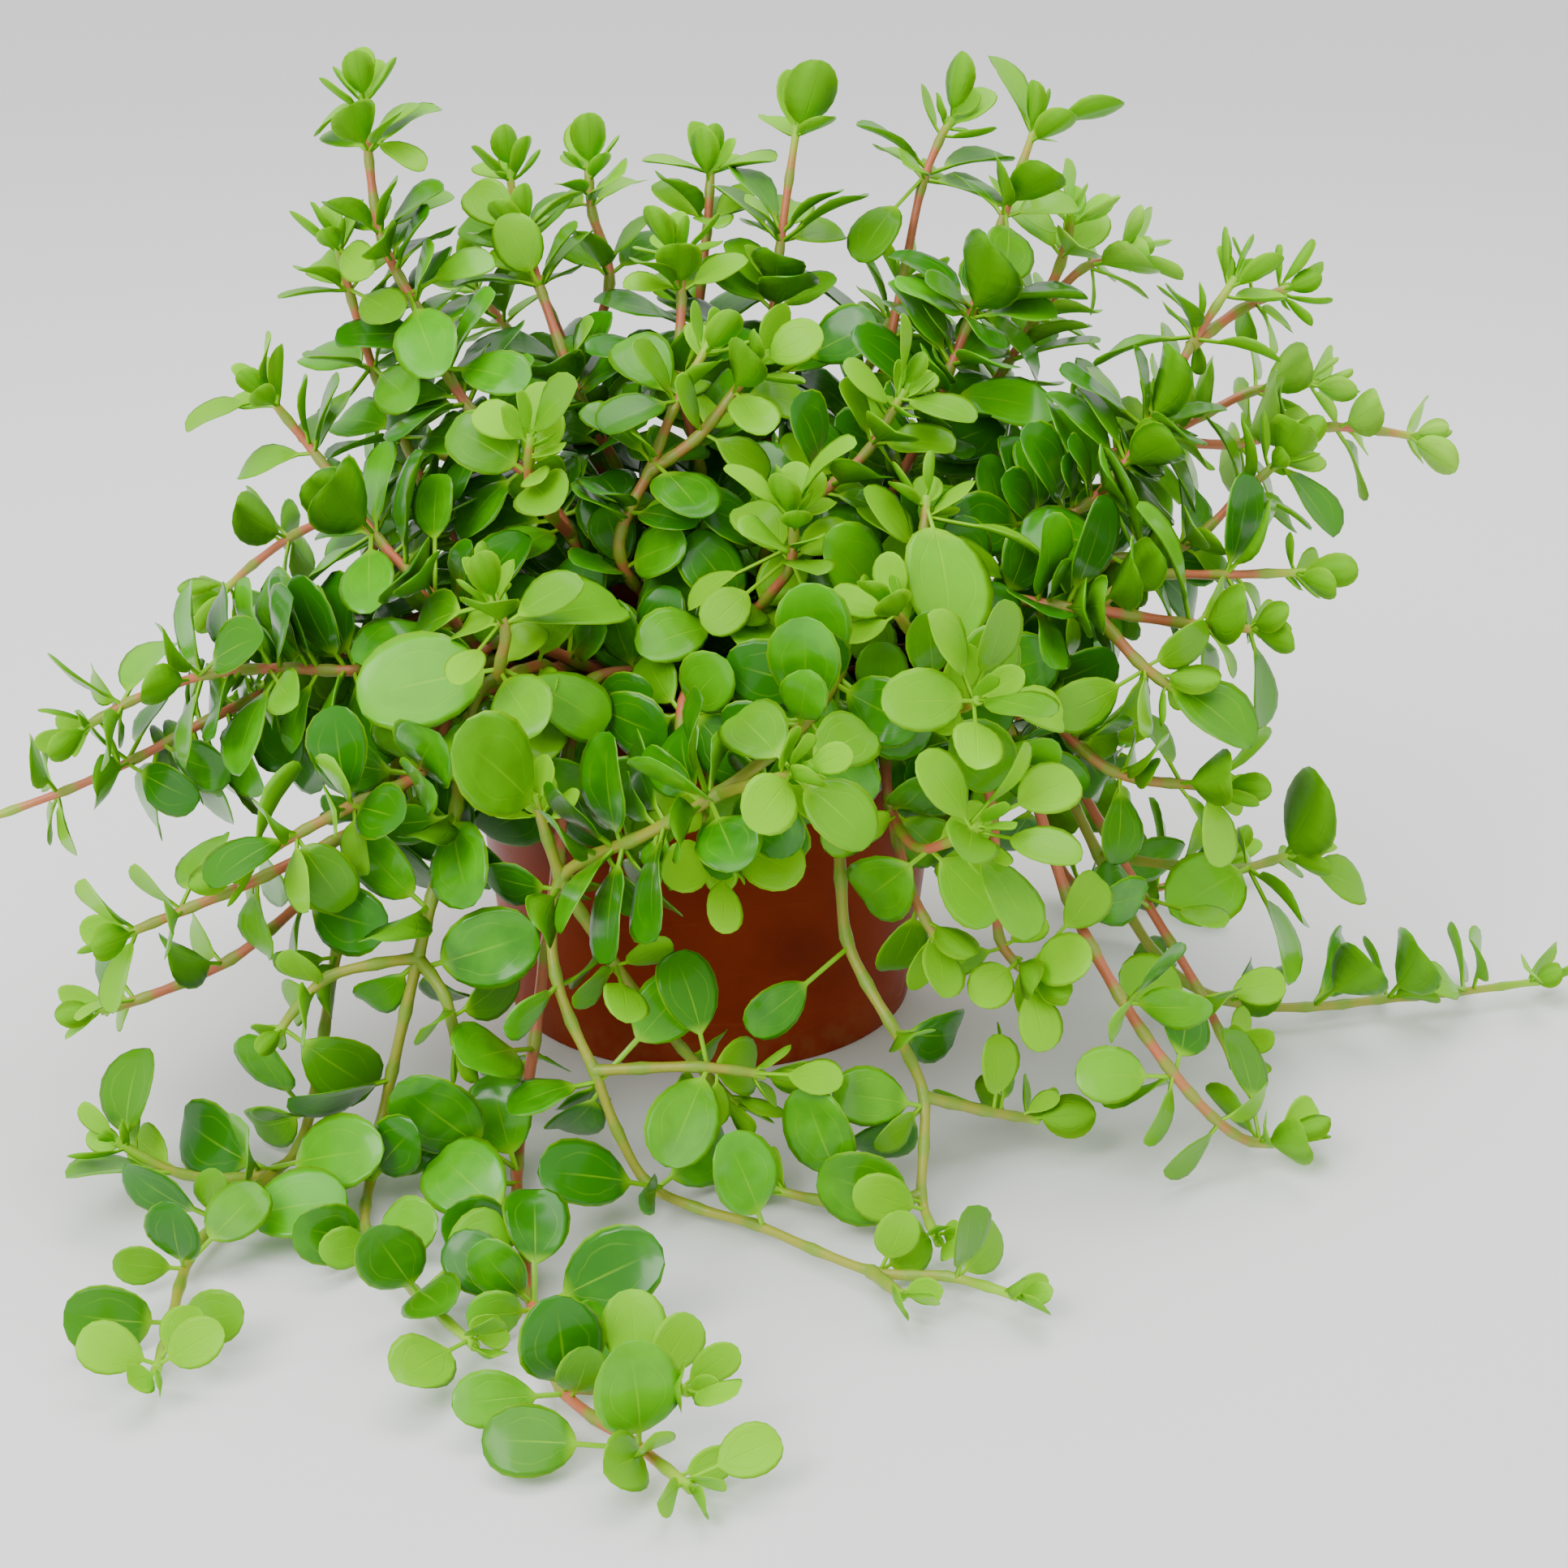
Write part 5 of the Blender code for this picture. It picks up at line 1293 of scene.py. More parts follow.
def leaf_points(plant):
    """A mesh of points, one for each leaf of the plant, with the leaf's measures on it."""
    draw = random.Random(plant.name)
    leaves = plant.leaves
    mesh = bpy.data.meshes.new("leaf points")
    mesh.from_pydata([leaf.origin * MM for leaf in leaves], [], [])
    vectors = {
        "seat": [leaf.origin * MM for leaf in leaves],
        "along": [leaf.along for leaf in leaves],
        "face": [leaf.face for leaf in leaves],
        "side": [leaf.side for leaf in leaves],
    }
    for name, values in vectors.items():
        flat = [part for value in values for part in value]
        mesh.attributes.new(name, "FLOAT_VECTOR", "POINT").data.foreach_set("vector", flat)
    youth = [youth_of(plant, leaf) for leaf in leaves]
    numbers = {
        "length": [leaf.length * MM for leaf in leaves],
        "width": [leaf.width * MM for leaf in leaves],
        "petiole": [leaf.petiole * MM for leaf in leaves],
        "bend": [leaf.bend for leaf in leaves],
        "fold": [leaf.fold for leaf in leaves],
        "youth": youth,
        "thick": [(1.0 - YOUNG_THIN * young) * MM for young in youth],
        "stout": [1.0 - YOUNG_THIN * young for young in youth],
        "base taper": [BASE_TAPER * draw.uniform(*TAPERS) for _ in leaves],
        "wave": [draw.uniform(*WAVE_HEIGHTS) * MM * (1 - YOUNG_CALM * young) for young in youth],
        "tone": [draw.random() for _ in leaves],
    }
    for name, values in numbers.items():
        mesh.attributes.new(name, "FLOAT", "POINT").data.foreach_set("value", values)
    return mesh


# %% [markdown]
# ## The stems
#
# A stem is round, a little thicker at each leaf joint, and ends in a bud. A smooth line through the
# plant's joints carries on each point how far it is from the nearest joint, and the tree sweeps a
# circle along it. A skin modifier could make stems too, but it can't swell them at the joints by a
# formula.

# %% Stem lines
STEM_STEP = 2.4
SLENDER = 0.9
SHOOT_FROM = 0.4


def smooth_line(points):
    """Places along a curve through the joints, each with its way to a joint and its share of the stem."""
    ends = [2 * points[0] - points[1]] + points + [2 * points[-1] - points[-2]]
    found = []
    for i in range(1, len(ends) - 2):
        a, b, c, d = ends[i - 1:i + 3]
        size = (c - b).length
        steps = max(3, round(size / STEM_STEP))
        for k in range(steps + (i == len(ends) - 3)):
            t = k / steps
            bow, twist = 2 * a - 5 * b + 4 * c - d, 3 * b - a - 3 * c + d
            place = b + 0.5 * ((c - a) * t + bow * t**2 + twist * t**3)
            found.append((place, min(t, 1 - t) * size, (i - 1 + t) / (len(points) - 1)))
    return found


def stem_lines(plant):
    """A mesh of edges along every stem of the plant."""
    points, edges, gap, part, thick = [], [], [], [], []
    for number, line in enumerate(plant.lines):
        first = len(points)
        start = STEM_RADIUS * (1 if number == 0 else SLENDER)
        for place, way, share in smooth_line([plant.joints[joint] for joint in line]):
            points.append(place * MM)
            gap.append(way * MM)
            part.append(share if number == 0 else SHOOT_FROM + (1 - SHOOT_FROM) * share)
            thick.append(SLENDER * (start + (TIP_RADIUS - start) * share**TAPER_POWER) * MM)
        edges += [(k, k + 1) for k in range(first, len(points) - 1)]
    mesh = bpy.data.meshes.new("stem lines")
    mesh.from_pydata(points, edges, [])
    for name, values in (("gap", gap), ("part", part), ("thick", thick)):
        mesh.attributes.new(name, "FLOAT", "POINT").data.foreach_set("value", values)
    return mesh


# %% The stem tree
def form_stems():
    """Geometry tree: sweeps a circle along every line, thicker at the joints."""
    sizes = {"Sides": "NodeSocketInt", "Swelling": "NodeSocketFloat", "Swollen length": "NodeSocketFloat",
             "Stem material": "NodeSocketMaterial"}
    group, tree, given = geometry_tree("stems", sizes)
    gap = tree.add("GeometryNodeInputNamedAttribute", {"data_type": "FLOAT"}, {"Name": "gap"})
    thick = tree.add("GeometryNodeInputNamedAttribute", {"data_type": "FLOAT"}, {"Name": "thick"})
    near = gap / given["Swollen length"]
    swollen = thick * (1 + given["Swelling"] * (near * near * -1.0).math("EXPONENT"))
    lines = tree.add("GeometryNodeMeshToCurve", {}, {"Mesh": given["Geometry"]})
    circle = tree.add("GeometryNodeCurvePrimitiveCircle", {}, {"Resolution": given["Sides"], "Radius": 1.0})
    inputs = {"Curve": lines, "Profile Curve": circle, "Scale": swollen, "Fill Caps": True}
    swept = tree.add("GeometryNodeCurveToMesh", {}, inputs)
    smooth = tree.add("GeometryNodeSetShadeSmooth", {}, {"Geometry": swept})
    real = tree.add("GeometryNodeRealizeInstances", {}, {"Geometry": smooth})
    close_tree(group, tree, real, given["Stem material"])
    return group


stem_tree = form_stems()
print("nodes in the stem tree:", len(stem_tree.nodes))

# %% [markdown]
# ## Leaf finish
#
# Mature leaves are deep green under a waxy gloss, with a fine pale midrib, a side vein on either hand
# and a lighter rim. Young ones are lime and have little wax yet. The undersides are paler and matter.
# All of it is worked out from the leaf's own `t`, `s` and `w`, so the veins follow every blade however
# it bends. A painted picture would need one for each leaf, and it couldn't tell an old leaf from a
# young one. The wax is a coat over the green.

# %% Shader helpers
def new_material(name):
    """A material with its tree and its Principled shader."""
    made = bpy.data.materials.new(name)
    made.use_nodes = True
    return made, Tree(made.node_tree), made.node_tree.nodes["Principled BSDF"]


def reads(tree, name):
    """A number that the surface carries."""
    return tree.add("ShaderNodeAttribute", {"attribute_name": name}, {}, "Fac")


# A Mix node has sockets of the same name for numbers and for colours, so the colours' go by number.
MIX_FIRST, MIX_SECOND, MIX_RESULT = 6, 7, 2


def mixed(tree, share, first, second):
    """The first colour where share is 0 and the second where it is 1."""
    inputs = {"Factor": share, MIX_FIRST: first, MIX_SECOND: second}
    return tree.add("ShaderNodeMix", {"data_type": "RGBA"}, inputs, MIX_RESULT)


def grain(tree, size, detail, stretch=(1, 1, 1)):
    """Fine noise between 0 and 1 with blotches of about this size in metres."""
    spot = tree.add("ShaderNodeTexCoord", {}, {}, "Object")
    spot = tree.add("ShaderNodeMapping", {}, {"Vector": spot, "Scale": stretch})
    return tree.add("ShaderNodeTexNoise", {}, {"Vector": spot, "Scale": 1 / size, "Detail": detail})


def bumped(tree, shader, height, distance, strength):
    """Lets the height bend the light on the surface."""
    bump = tree.add("ShaderNodeBump", {}, {"Height": height, "Distance": distance, "Strength": strength})
    tree.plug(shader.inputs["Normal"], bump)


# %% Leaf material
RIM_GREEN = (0.31, 0.68, 0.0, 1)
LEAF_MOTTLE, LEAF_PORES = 0.006, 0.0011
VEIN_ARCH, VEIN_DEPTH = 0.62, 0.00035
LEAF_WAX, LEAF_SHEEN, LEAF_ROUGHNESS, WAX_ROUGHNESS = 0.6, 0.12, 0.36, 0.15


def leaf_finish(name, mature, bright, young, under):
    """Leaf material: mature leaves between two greens, young leaves, undersides, veins, rim and gloss."""
    made, tree, shader = new_material(name)
    t, s, w, youth, tone = (reads(tree, key) for key in ("t", "s", "w", "youth", "tone"))
    side, below = abs(s), w.step(0.0, -0.35)
    mottle = grain(tree, LEAF_MOTTLE, 2.0)
    green = mixed(tree, (tone + (mottle - 0.5) * 0.8).step(0.2, 1.1), mature, bright)
    green = mixed(tree, (youth + (tone - 0.5) * 0.3).step(0.2, 1.0), green, young)
    midrib = side.step(0.05, 0.01) * t.step(0.95, 0.25)
    arch = VEIN_ARCH * (t * math.pi).math("SINE")
    lateral = abs(side - arch).step(0.045, 0.0) * t.step(0.0, 0.12) * t.step(0.9, 0.6)
    rim = side.step(0.9, 0.99)
    vein = (midrib * 0.4).math("MAXIMUM", lateral * 0.13)
    pale = vein.math("MAXIMUM", rim * 0.6).math("MAXIMUM", t.step(0.16, 0.0) * 0.75)
    green = mixed(tree, pale, green, RIM_GREEN)
    green = mixed(tree, below * 0.8, green, under)
    tree.plug(shader.inputs["Base Color"], green)
    tree.plug(shader.inputs["Roughness"], LEAF_ROUGHNESS + below * 0.2 + (mottle - 0.5) * 0.16)
    tree.plug(shader.inputs["Coat Weight"], (1 - youth) * (1 - below) * LEAF_WAX)
    height = (1 - midrib) * 0.5 + (1 - lateral) * 0.25 + grain(tree, LEAF_PORES, 3.0) * 0.22
    bumped(tree, shader, height, VEIN_DEPTH, 0.55)
    shader.inputs["Specular IOR Level"].default_value = LEAF_SHEEN
    shader.inputs["Coat Roughness"].default_value = WAX_ROUGHNESS
    return made


leaf_material = leaf_finish(
    "leaf",
    mature=(0.023, 0.185, 0.0, 1),
    bright=(0.095, 0.46, 0.0, 1),
    young=(0.24, 0.62, 0.0, 1),
    under=(0.12, 0.38, 0.0, 1),
)
pale_leaf_material = leaf_finish(
    "pale leaf",
    mature=(0.13, 0.42, 0.012, 1),
    bright=(0.23, 0.6, 0.02, 1),
    young=(0.34, 0.8, 0.03, 1),
    under=(0.28, 0.58, 0.04, 1),
)
print("leaf materials:", leaf_material.name, "and", pale_leaf_material.name)

# %% [markdown]
# ## Stem finish
#
# Upright stems redden in the light: their upper internodes are a pinkish brown, the lower ones turn
# olive and brown, and each joint stays green. Stems that trail in the shade stay yellow-green. The stem
# lines carry `part`, the share of the stem's length, and `gap`, the distance to a joint, so the colours
# fall where they do on the plant. Noise shifts them a little and adds pale flecks.

# %% Stem material
JOINT_GREEN = (0.2, 0.36, 0.02, 1)
GREEN_END, GREEN_FULL = 0.0034, 0.001
FLECK = (0.5, 0.38, 0.14, 1)
STEM_BLOTCH, STEM_FLECK = 0.004, 0.0012
STEM_PORES, PORE_DEPTH = 0.0009, 0.0003
STEM_ROUGHNESS = 0.42


def stem_finish(name, low, high):
    """Stem material between a colour low on the stem and one high on it, with green joints."""
    made, tree, shader = new_material(name)
    part, gap = reads(tree, "part"), reads(tree, "gap")
    blotch = grain(tree, STEM_BLOTCH, 3.0)
    colour = mixed(tree, (part + (blotch - 0.5) * 0.3).step(0.0, 0.35), low, high)
    colour = mixed(tree, gap.step(GREEN_END, GREEN_FULL) * 0.8, colour, JOINT_GREEN)
    colour = mixed(tree, part.step(0.9, 0.99) * 0.8, colour, RIM_GREEN)
    colour = mixed(tree, grain(tree, STEM_FLECK, 2.0).step(0.62, 0.8) * 0.35, colour, FLECK)
    tree.plug(shader.inputs["Base Color"], colour)
    tree.plug(shader.inputs["Roughness"], STEM_ROUGHNESS + (blotch - 0.5) * 0.2)
    bumped(tree, shader, grain(tree, STEM_PORES, 3.0), PORE_DEPTH, 0.4)
    return made


red_stem = stem_finish("reddened stem", (0.3, 0.16, 0.05, 1), (0.56, 0.15, 0.065, 1))
olive_stem = stem_finish("olive stem", (0.25, 0.23, 0.025, 1), (0.34, 0.36, 0.03, 1))
print("stem materials:", red_stem.name, "and", olive_stem.name)

# %% [markdown]
# ## Growing the plant
#
# Each rooted stem becomes one piece: its stems and all its leaves in one mesh with two materials. It
# stands for the CAD node of the same stem, which stays behind for the collision checks, hidden. One
# piece for each stem rather than one for the whole plant keeps every mesh light, and lets a part user
# take a single stem.

# %% One piece for each rooted stem
OLIVE_STEMS = ("front_main", "left_trail", "left_outer", "front_right", "right_far")
PALE = ("back_pale", "right_back")
STEM_SIZES = {"Sides": 8, "Swelling": 0.28, "Swollen length": 0.0022}
LEAF_SIZES = {"Stalk radius": 0.00062, "Sunk": 0.0012, "Fullness": FULLNESS, "Tip taper": TIP_TAPER}


def joined(name, meshes):
    """One mesh object from several meshes, with their materials and their attributes."""
    bodies = [bpy.data.objects.new(name, mesh) for mesh in meshes]
    for body in bodies:
        bpy.context.scene.collection.objects.link(body)
    bpy.ops.object.select_all(action="DESELECT")
    for body in bodies:
        body.select_set(True)
    bpy.context.view_layer.objects.active = bodies[0]
    bpy.ops.object.join()
    return bodies[0]


def dress_plant(plant):
    """The rooted stem's finished piece, in place of its CAD node."""
    stem_look = olive_stem if plant.name in OLIVE_STEMS else red_stem
    leaf_look = pale_leaf_material if plant.name in PALE else leaf_material
    stem_sizes = {**STEM_SIZES, "Stem material": stem_look}
    leaf_sizes = {**LEAF_SIZES, "Template": template, "Leaf material": leaf_look}
    stems = run_tree(stem_tree, stem_lines(plant), stem_sizes)
    leaves = run_tree(leaf_tree, leaf_points(plant), leaf_sizes)
    piece = joined(f"foliage_{plant.name}", [stems, leaves])
    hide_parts(f"stem_{plant.name}")
    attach(piece, "root")
    return len(piece.data.polygons)


faces = [dress_plant(plant) for plant in plants]
print("faces in the foliage:", sum(faces), "most in one piece:", max(faces))

# %% [markdown]
# ## The pot
#
# A nursery pot is injection moulded in thin terracotta-coloured plastic: a tapered wall, a rolled lip
# that stiffens it, a foot ring, and drain holes in the floor. One section line turned round the axis
# gives all of it. The CAD pot has 24 flat sides to stay light, so this one is turned finely, and its
# corners are rounded. The drain holes are real holes, which one Boolean cuts through the floor.

# %% The moulded pot
POT_TURNS = 96
DRAIN_SIDES = 24
DRAIN_CUTTER, CUTTER_MIDDLE = 8.0, 3.0
CORNER, CORNER_STEPS, CORNER_SHARE = 0.5, 3, 0.4
SMOOTH_BELOW = 40.0


def rounded(profile, radius, steps):
    """The section line with each inner corner replaced by a small arc."""
    line = [Vector(point) for point in profile]
    found = [line[0]]
    for before, corner, after in zip(line, line[1:], line[2:]):
        back, on = before - corner, after - corner
        reach = min(radius, CORNER_SHARE * back.length, CORNER_SHARE * on.length)
        start, end = corner + back.normalized() * reach, corner + on.normalized() * reach
        for k in range(steps + 1):
            t = k / steps
            found.append(start * (1 - t) ** 2 + corner * 2 * t * (1 - t) + end * t**2)
    return found + [line[-1]]


def turned_piece(name, profile, sides):
    """A closed mesh turned round the axis from a section that starts and ends on it."""
    work = bmesh.new()
    verts = [work.verts.new((r * MM, 0, z * MM)) for r, z in profile]
    edges = [work.edges.new(pair) for pair in zip(verts, verts[1:])]
    bmesh.ops.spin(work, geom=verts + edges, axis=(0, 0, 1), cent=(0, 0, 0), steps=sides, angle=math.tau)
    bmesh.ops.remove_doubles(work, verts=work.verts, dist=1e-6)
    bmesh.ops.recalc_face_normals(work, faces=work.faces)
    mesh = bpy.data.meshes.new(name)
    work.to_mesh(mesh)
    work.free()
    made = bpy.data.objects.new(name, mesh)
    bpy.context.scene.collection.objects.link(made)
    return made


def cut_drains(pot):
    """Cuts the drain holes through the pot's floor."""
    work = bmesh.new()
    for k in range(DRAIN_HOLES):
        angle = math.tau * (k + 0.5) / DRAIN_HOLES
        x, y = DRAIN_RING * math.cos(angle), DRAIN_RING * math.sin(angle)
        spot = Vector((x, y, CUTTER_MIDDLE)) * MM
        bmesh.ops.create_cone(work, cap_ends=True, segments=DRAIN_SIDES, radius1=DRAIN_RADIUS * MM,
                              radius2=DRAIN_RADIUS * MM, depth=DRAIN_CUTTER * MM,
                              matrix=Matrix.Translation(spot))
    mesh = bpy.data.meshes.new("drains")
    work.to_mesh(mesh)
    work.free()
    drains = bpy.data.objects.new("drains", mesh)
    bpy.context.scene.collection.objects.link(drains)
    cut = pot.modifiers.new("drains", "BOOLEAN")
    cut.operation, cut.object, cut.solver = "DIFFERENCE", drains, "EXACT"
    bpy.context.view_layer.update()
    pot.data = bpy.data.meshes.new_from_object(pot.evaluated_get(bpy.context.evaluated_depsgraph_get()))
    pot.modifiers.clear()
    bpy.data.objects.remove(drains)


pot = turned_piece("moulded_pot", rounded(pot_profile(), CORNER, CORNER_STEPS), POT_TURNS)
cut_drains(pot)
pot.data.shade_smooth()
pot.data.set_sharp_from_angle(angle=math.radians(SMOOTH_BELOW))
print("faces in the pot:", len(pot.data.polygons))

# %% [markdown]
# The plastic is satin, with a faint moulded grain and fine scuffs that run round it from stacking. Its
# colour is painted in blotches between its lit tone and a darker painted shade. Water and soil have left
# a dull film near the foot and a dusty line under the lip. These are masks of height and of noise, which
# fit the pot from every side. Wear painted by hand would need an image, and would have to be laid round
# the wall.

# %% Pot material
# The pot's colour as lit, and a darker painted shade. Blotches of noise mix them over the wall.
POT_PAINTED_LIT, POT_PAINTED_SHADE = (0.3, 0.031, 0.003, 1), (0.22, 0.021, 0.002, 1)
POT_DUST, POT_SCUFF = (0.3, 0.11, 0.045, 1), (0.38, 0.09, 0.03, 1)
POT_SHEEN, POT_ROUGHNESS = 0.1, 0.36
FILM_HEIGHT, DUST_DROP, DUST_WIDTH = 16.0, 1.5, 3.0
PAINTED_SHADE_BLOTCH_SIZE, FILM_PATCH, DUST_PATCH = 0.022, 0.004, 0.003
SCUFF_SIZE, SCUFF_STRETCH = 0.0035, (0.25, 0.25, 4.0)
MOULDED_GRAIN, GRAIN_DEPTH = 0.0007, 0.0001


def pot_finish():
    """Pot material: plastic with blotches of painted shade, a film near the foot, dust under the lip and
    scuffs round it.
    """
    made, tree, shader = new_material("terracotta plastic")
    place = tree.add("ShaderNodeTexCoord", {}, {}, "Object")
    height = tree.add("ShaderNodeSeparateXYZ", {}, {"Vector": place}, "Z") * (1 / MM)
    # Blotches of painted shade over the lit colour. The same blotches also vary the film and the roughness.
    painted_shade_and_film_blotch = grain(tree, PAINTED_SHADE_BLOTCH_SIZE, 3.0)
    colour = mixed(tree, painted_shade_and_film_blotch.step(0.3, 0.7), POT_PAINTED_SHADE, POT_PAINTED_LIT)
    patches = grain(tree, FILM_PATCH, 4.0).step(0.35, 0.65)
    film = height.step(FILM_HEIGHT, 0.0) * (0.35 + painted_shade_and_film_blotch * 0.6) * patches
    under_lip = abs(height - (POT_HEIGHT - LIP_HEIGHT - DUST_DROP)).step(DUST_WIDTH, 0.0)
    dust = under_lip * grain(tree, DUST_PATCH, 3.0).step(0.45, 0.7)
    colour = mixed(tree, film.math("MAXIMUM", dust) * 0.5, colour, POT_DUST)
    scuff = grain(tree, SCUFF_SIZE, 4.0, SCUFF_STRETCH).step(0.6, 0.72)
    colour = mixed(tree, scuff * 0.18, colour, POT_SCUFF)
    tree.plug(shader.inputs["Base Color"], colour)
    roughness = POT_ROUGHNESS + film * 0.3 + scuff * 0.18 + (painted_shade_and_film_blotch - 0.5) * 0.12
    tree.plug(shader.inputs["Roughness"], roughness)
    bumped(tree, shader, grain(tree, MOULDED_GRAIN, 2.0) + scuff * 0.5, GRAIN_DEPTH, 0.35)
    shader.inputs["Specular IOR Level"].default_value = POT_SHEEN
    return made


pot.data.materials.append(pot_finish())
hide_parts("pot")
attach(pot, "root")

# %% [markdown]
# ## The potting mix
#
# Fresh potting mix is dark, loose and crumbly, with bits of bark and white grains of perlite. Its top
# is a bumpy grid, and Geometry Nodes scatter small crumbs on it with a fixed seed: particles would be
# lost on export. The mix fills the pot to below its lip, and stands for the plain CAD soil.

# %% The mix and its crumbs
SOIL_RINGS, SOIL_TURNS = 22, 72
SOIL_TO_RIM = 0.8
BUMP_SCALE, BUMP_SLICE, BUMP_HEIGHT, BUMP_DROP = 0.11, 3.0, 2.2, 1.0
BUMP_ROUGHNESS, BUMP_FINENESS, BUMP_LAYERS = 0.6, 2.1, 4
CRUMBS, CRUMB, CRUMB_DEPTH = 900, 1.6, 6.0
CRUMB_TURN = 6.3
FLATTEST_CRUMB, FULLEST_CRUMB = (0.25, 0.2, 0.15), (1.1, 0.8, 0.6)


def soil_mesh():
    """The filled body with a gently bumpy top."""
    floor = FOOT_HEIGHT + FLOOR_THICK + SOIL_GAP
    low, high = BASE_RADIUS - WALL - SOIL_GAP, TOP_RADIUS - WALL - SOIL_GAP - SOIL_TO_RIM
    rings = [(high * (k / SOIL_RINGS), True) for k in range(1, SOIL_RINGS + 1)] + [(low, False)]
    points, faces = [(0, 0, SOIL_TOP * MM)], []
    for radius, on_top in rings:
        for k in range(SOIL_TURNS):
            angle = math.tau * k / SOIL_TURNS
            x, y = radius * math.cos(angle), radius * math.sin(angle)
            spot = Vector((x, y, BUMP_SLICE)) * BUMP_SCALE
            rough = noise.fractal(spot, BUMP_ROUGHNESS, BUMP_FINENESS, BUMP_LAYERS)
            z = SOIL_TOP - BUMP_DROP + BUMP_HEIGHT * rough if on_top else floor
            points.append((x * MM, y * MM, z * MM))
    for k in range(SOIL_TURNS):
        j = (k + 1) % SOIL_TURNS
        faces.append((0, 1 + k, 1 + j))
        for ring in range(len(rings) - 1):
            a, b = 1 + ring * SOIL_TURNS, 1 + (ring + 1) * SOIL_TURNS
            faces.append((a + k, b + k, b + j, a + j))
    faces.append(tuple(reversed(range(len(points) - SOIL_TURNS, len(points)))))
    mesh = bpy.data.meshes.new("potting mix")
    mesh.from_pydata(points, [], faces)
    mesh.shade_smooth()
    return mesh


def scatter_crumbs():
    """Geometry tree: keeps the body and adds crumbs, turned and sized at random, on its top."""
    sizes = {"Crumbs per square metre": "NodeSocketFloat", "Crumb size": "NodeSocketFloat",
             "Lowest": "NodeSocketFloat", "Seed": "NodeSocketInt", "Mix material": "NodeSocketMaterial"}
    group, tree, given = geometry_tree("crumbs", sizes)
    place = tree.add("GeometryNodeInputPosition")
    height = tree.add("ShaderNodeSeparateXYZ", {}, {"Vector": place}, "Z")
    top = height.math("GREATER_THAN", given["Lowest"])
    spots = {"Mesh": given["Geometry"], "Selection": top, "Density": given["Crumbs per square metre"],
             "Seed": given["Seed"]}
    points = tree.add("GeometryNodeDistributePointsOnFaces", {}, spots)
    crumb = tree.add("GeometryNodeMeshIcoSphere", {}, {"Radius": given["Crumb size"], "Subdivisions": 1})

    def drawn(low, high, seed):
        settings = {"data_type": "FLOAT_VECTOR"}
        return tree.add("FunctionNodeRandomValue", settings, {0: low, 1: high, "Seed": seed})

    turn = drawn((0, 0, 0), (CRUMB_TURN, CRUMB_TURN, CRUMB_TURN), 1)
    size = drawn(FLATTEST_CRUMB, FULLEST_CRUMB, 2)
    inputs = {"Points": points, "Instance": crumb, "Rotation": turn, "Scale": size}
    copies = tree.add("GeometryNodeInstanceOnPoints", {}, inputs)
    both = tree.add("GeometryNodeJoinGeometry", {}, {"Geometry": given["Geometry"]})
    tree.plug(both.socket.node.inputs["Geometry"], copies)
    real = tree.add("GeometryNodeRealizeInstances", {}, {"Geometry": both})
    close_tree(group, tree, real, given["Mix material"])
    return group


# %% Mix material
MIX_DARK, MIX_BROWN = (0.009, 0.006, 0.004, 1), (0.045, 0.024, 0.012, 1)
BARK, PERLITE = (0.1, 0.045, 0.018, 1), (0.5, 0.48, 0.42, 1)
MIX_BIT, BARK_BIT, PERLITE_GRAIN = 0.0024, 0.006, 0.0032
MIX_PORES, MIX_DEPTH, MIX_ROUGHNESS = 0.0015, 0.0012, 0.95


def mix_finish():
    """Potting mix material: dark and brown crumbs, with bits of bark and grains of perlite."""
    made, tree, shader = new_material("potting mix")
    bits = grain(tree, MIX_BIT, 5.0)
    colour = mixed(tree, bits.step(0.35, 0.7), MIX_DARK, MIX_BROWN)
    bark = grain(tree, BARK_BIT, 2.0, (1, 3, 1)).step(0.6, 0.68)
    colour = mixed(tree, bark * 0.8, colour, BARK)
    perlite = grain(tree, PERLITE_GRAIN, 1.0).step(0.72, 0.76)
    colour = mixed(tree, perlite * 0.85, colour, PERLITE)
    tree.plug(shader.inputs["Base Color"], colour)
    tree.plug(shader.inputs["Roughness"], MIX_ROUGHNESS - bark * 0.15)
    bumped(tree, shader, grain(tree, MIX_PORES, 5.0), MIX_DEPTH, 0.9)
    return made


mix_sizes = {
    "Crumbs per square metre": CRUMBS / (math.pi * (TOP_RADIUS * MM) ** 2),
    "Crumb size": CRUMB * MM,
    "Lowest": (SOIL_TOP - CRUMB_DEPTH) * MM,
    "Seed": SEED,
    "Mix material": mix_finish(),
}
mix = bpy.data.objects.new("potting_mix", run_tree(scatter_crumbs(), soil_mesh(), mix_sizes))
bpy.context.scene.collection.objects.link(mix)
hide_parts("soil")
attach(mix, "root")
print("faces in the potting mix:", len(mix.data.polygons))

# %% [markdown]
# ## Floor and light
#
# The photo has a bright plain surround and soft light from above and in front. A pale floor catches the
# trailing stems' shadows. A wide sun lights it evenly out to the horizon, which an area light can't do,
# and two large soft lights give the leaves their wide highlights. The world fills in the shadows.

# %% Floor
FLOOR_REACH = 4
FLOOR_GREY, FLOOR_ROUGHNESS = (0.86, 0.86, 0.86, 1), 0.8


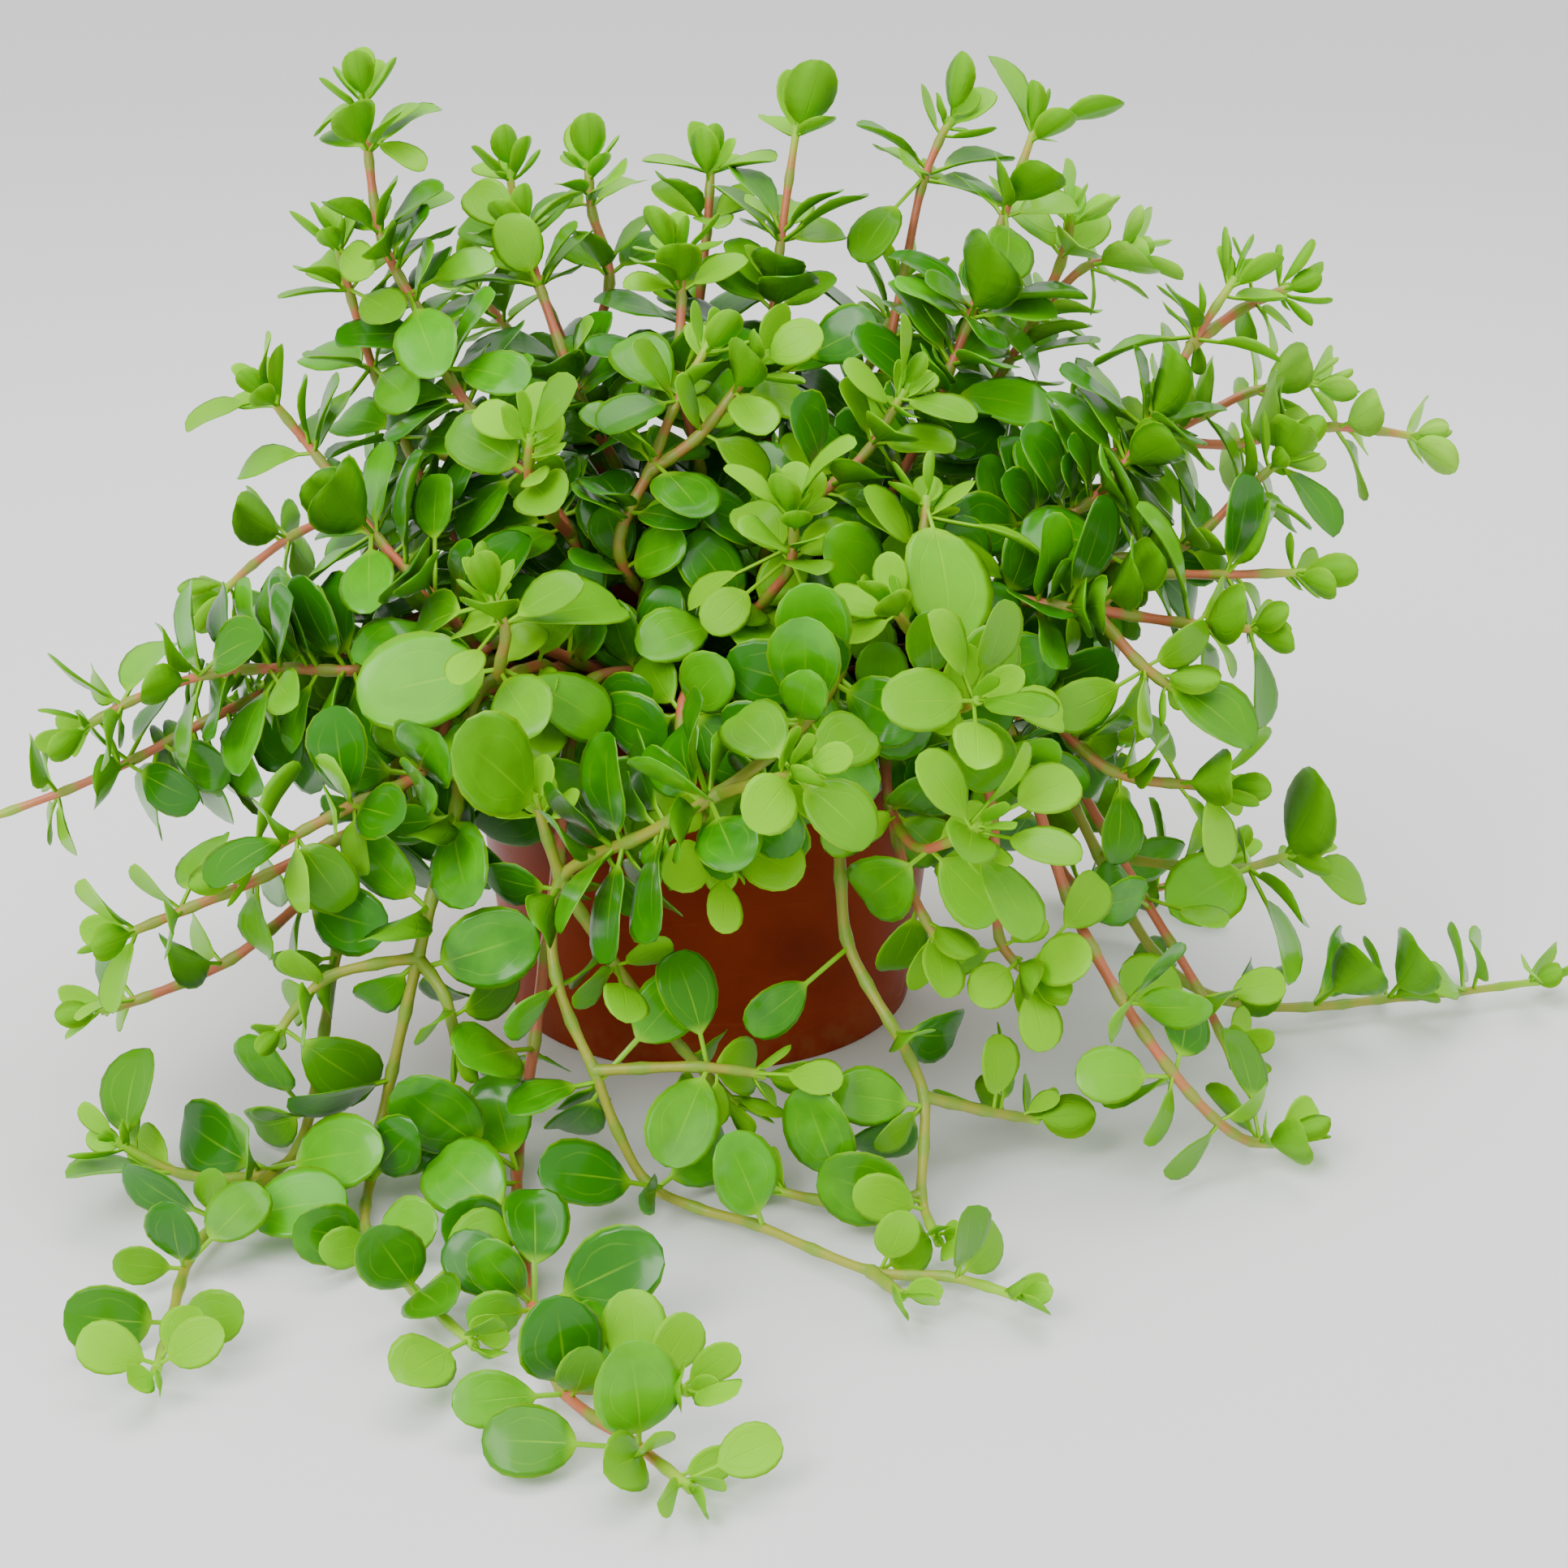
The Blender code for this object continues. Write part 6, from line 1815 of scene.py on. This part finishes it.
def stage_floor():
    """A wide flat floor, which is part of the stage and not of the plant."""
    mesh = bpy.data.meshes.new("floor")
    corners = [(x * FLOOR_REACH, y * FLOOR_REACH, 0) for x, y in ((-1, -1), (1, -1), (1, 1), (-1, 1))]
    mesh.from_pydata(corners, [], [(0, 1, 2, 3)])
    floor = bpy.data.objects.new("floor", mesh)
    bpy.context.scene.collection.objects.link(floor)
    made, tree, shader = new_material("pale floor")
    shader.inputs["Base Color"].default_value = FLOOR_GREY
    shader.inputs["Roughness"].default_value = FLOOR_ROUGHNESS
    mesh.materials.append(made)


stage_floor()

# %% Lights and world
# Each soft light by its place and its width in metres, and its power in watts.
LIGHTS = {
    "overhead": ((0.1, 0.25, 1.0), 0.7, 6.4),
    "front left": ((-0.7, -0.9, 0.9), 0.6, 9.5),
}
SUN_STRENGTH, SUN_WIDTH = 1.42, 50.0
SUN_TILT = (28.0, -12.0)
FILL = 0.92
PLANT_MIDDLE = (0.0, 0.0, 0.1)


def soft_light(name, place, size, power):
    """A square area light that faces the middle of the plant."""
    data = bpy.data.lights.new(name, "AREA")
    data.size, data.energy = size, power
    light = bpy.data.objects.new(name, data)
    light.location = place
    aim = Vector(PLANT_MIDDLE) - Vector(place)
    light.rotation_euler = aim.to_track_quat("-Z", "Y").to_euler()
    bpy.context.scene.collection.objects.link(light)


for name, (place, size, power) in LIGHTS.items():
    soft_light(name, place, size, power)
rays = bpy.data.lights.new("wide sun", "SUN")
rays.energy, rays.angle = SUN_STRENGTH, math.radians(SUN_WIDTH)
sun = bpy.data.objects.new("wide sun", rays)
sun.rotation_euler = (math.radians(SUN_TILT[0]), math.radians(SUN_TILT[1]), 0)
bpy.context.scene.collection.objects.link(sun)
world = bpy.data.worlds.new("studio")
world.use_nodes = True
world.node_tree.nodes["Background"].inputs["Color"].default_value = (1, 1, 1, 1)
world.node_tree.nodes["Background"].inputs["Strength"].default_value = FILL
bpy.context.scene.world = world
print("lights:", ", ".join(LIGHTS), "and a sun", SUN_WIDTH, "degrees wide")

# %% [markdown]
#
# The dressed plant has to keep the CAD model's box. Last, the leaf template is removed.

# %% Finish
bpy.data.objects.remove(template)
bpy.context.view_layer.update()
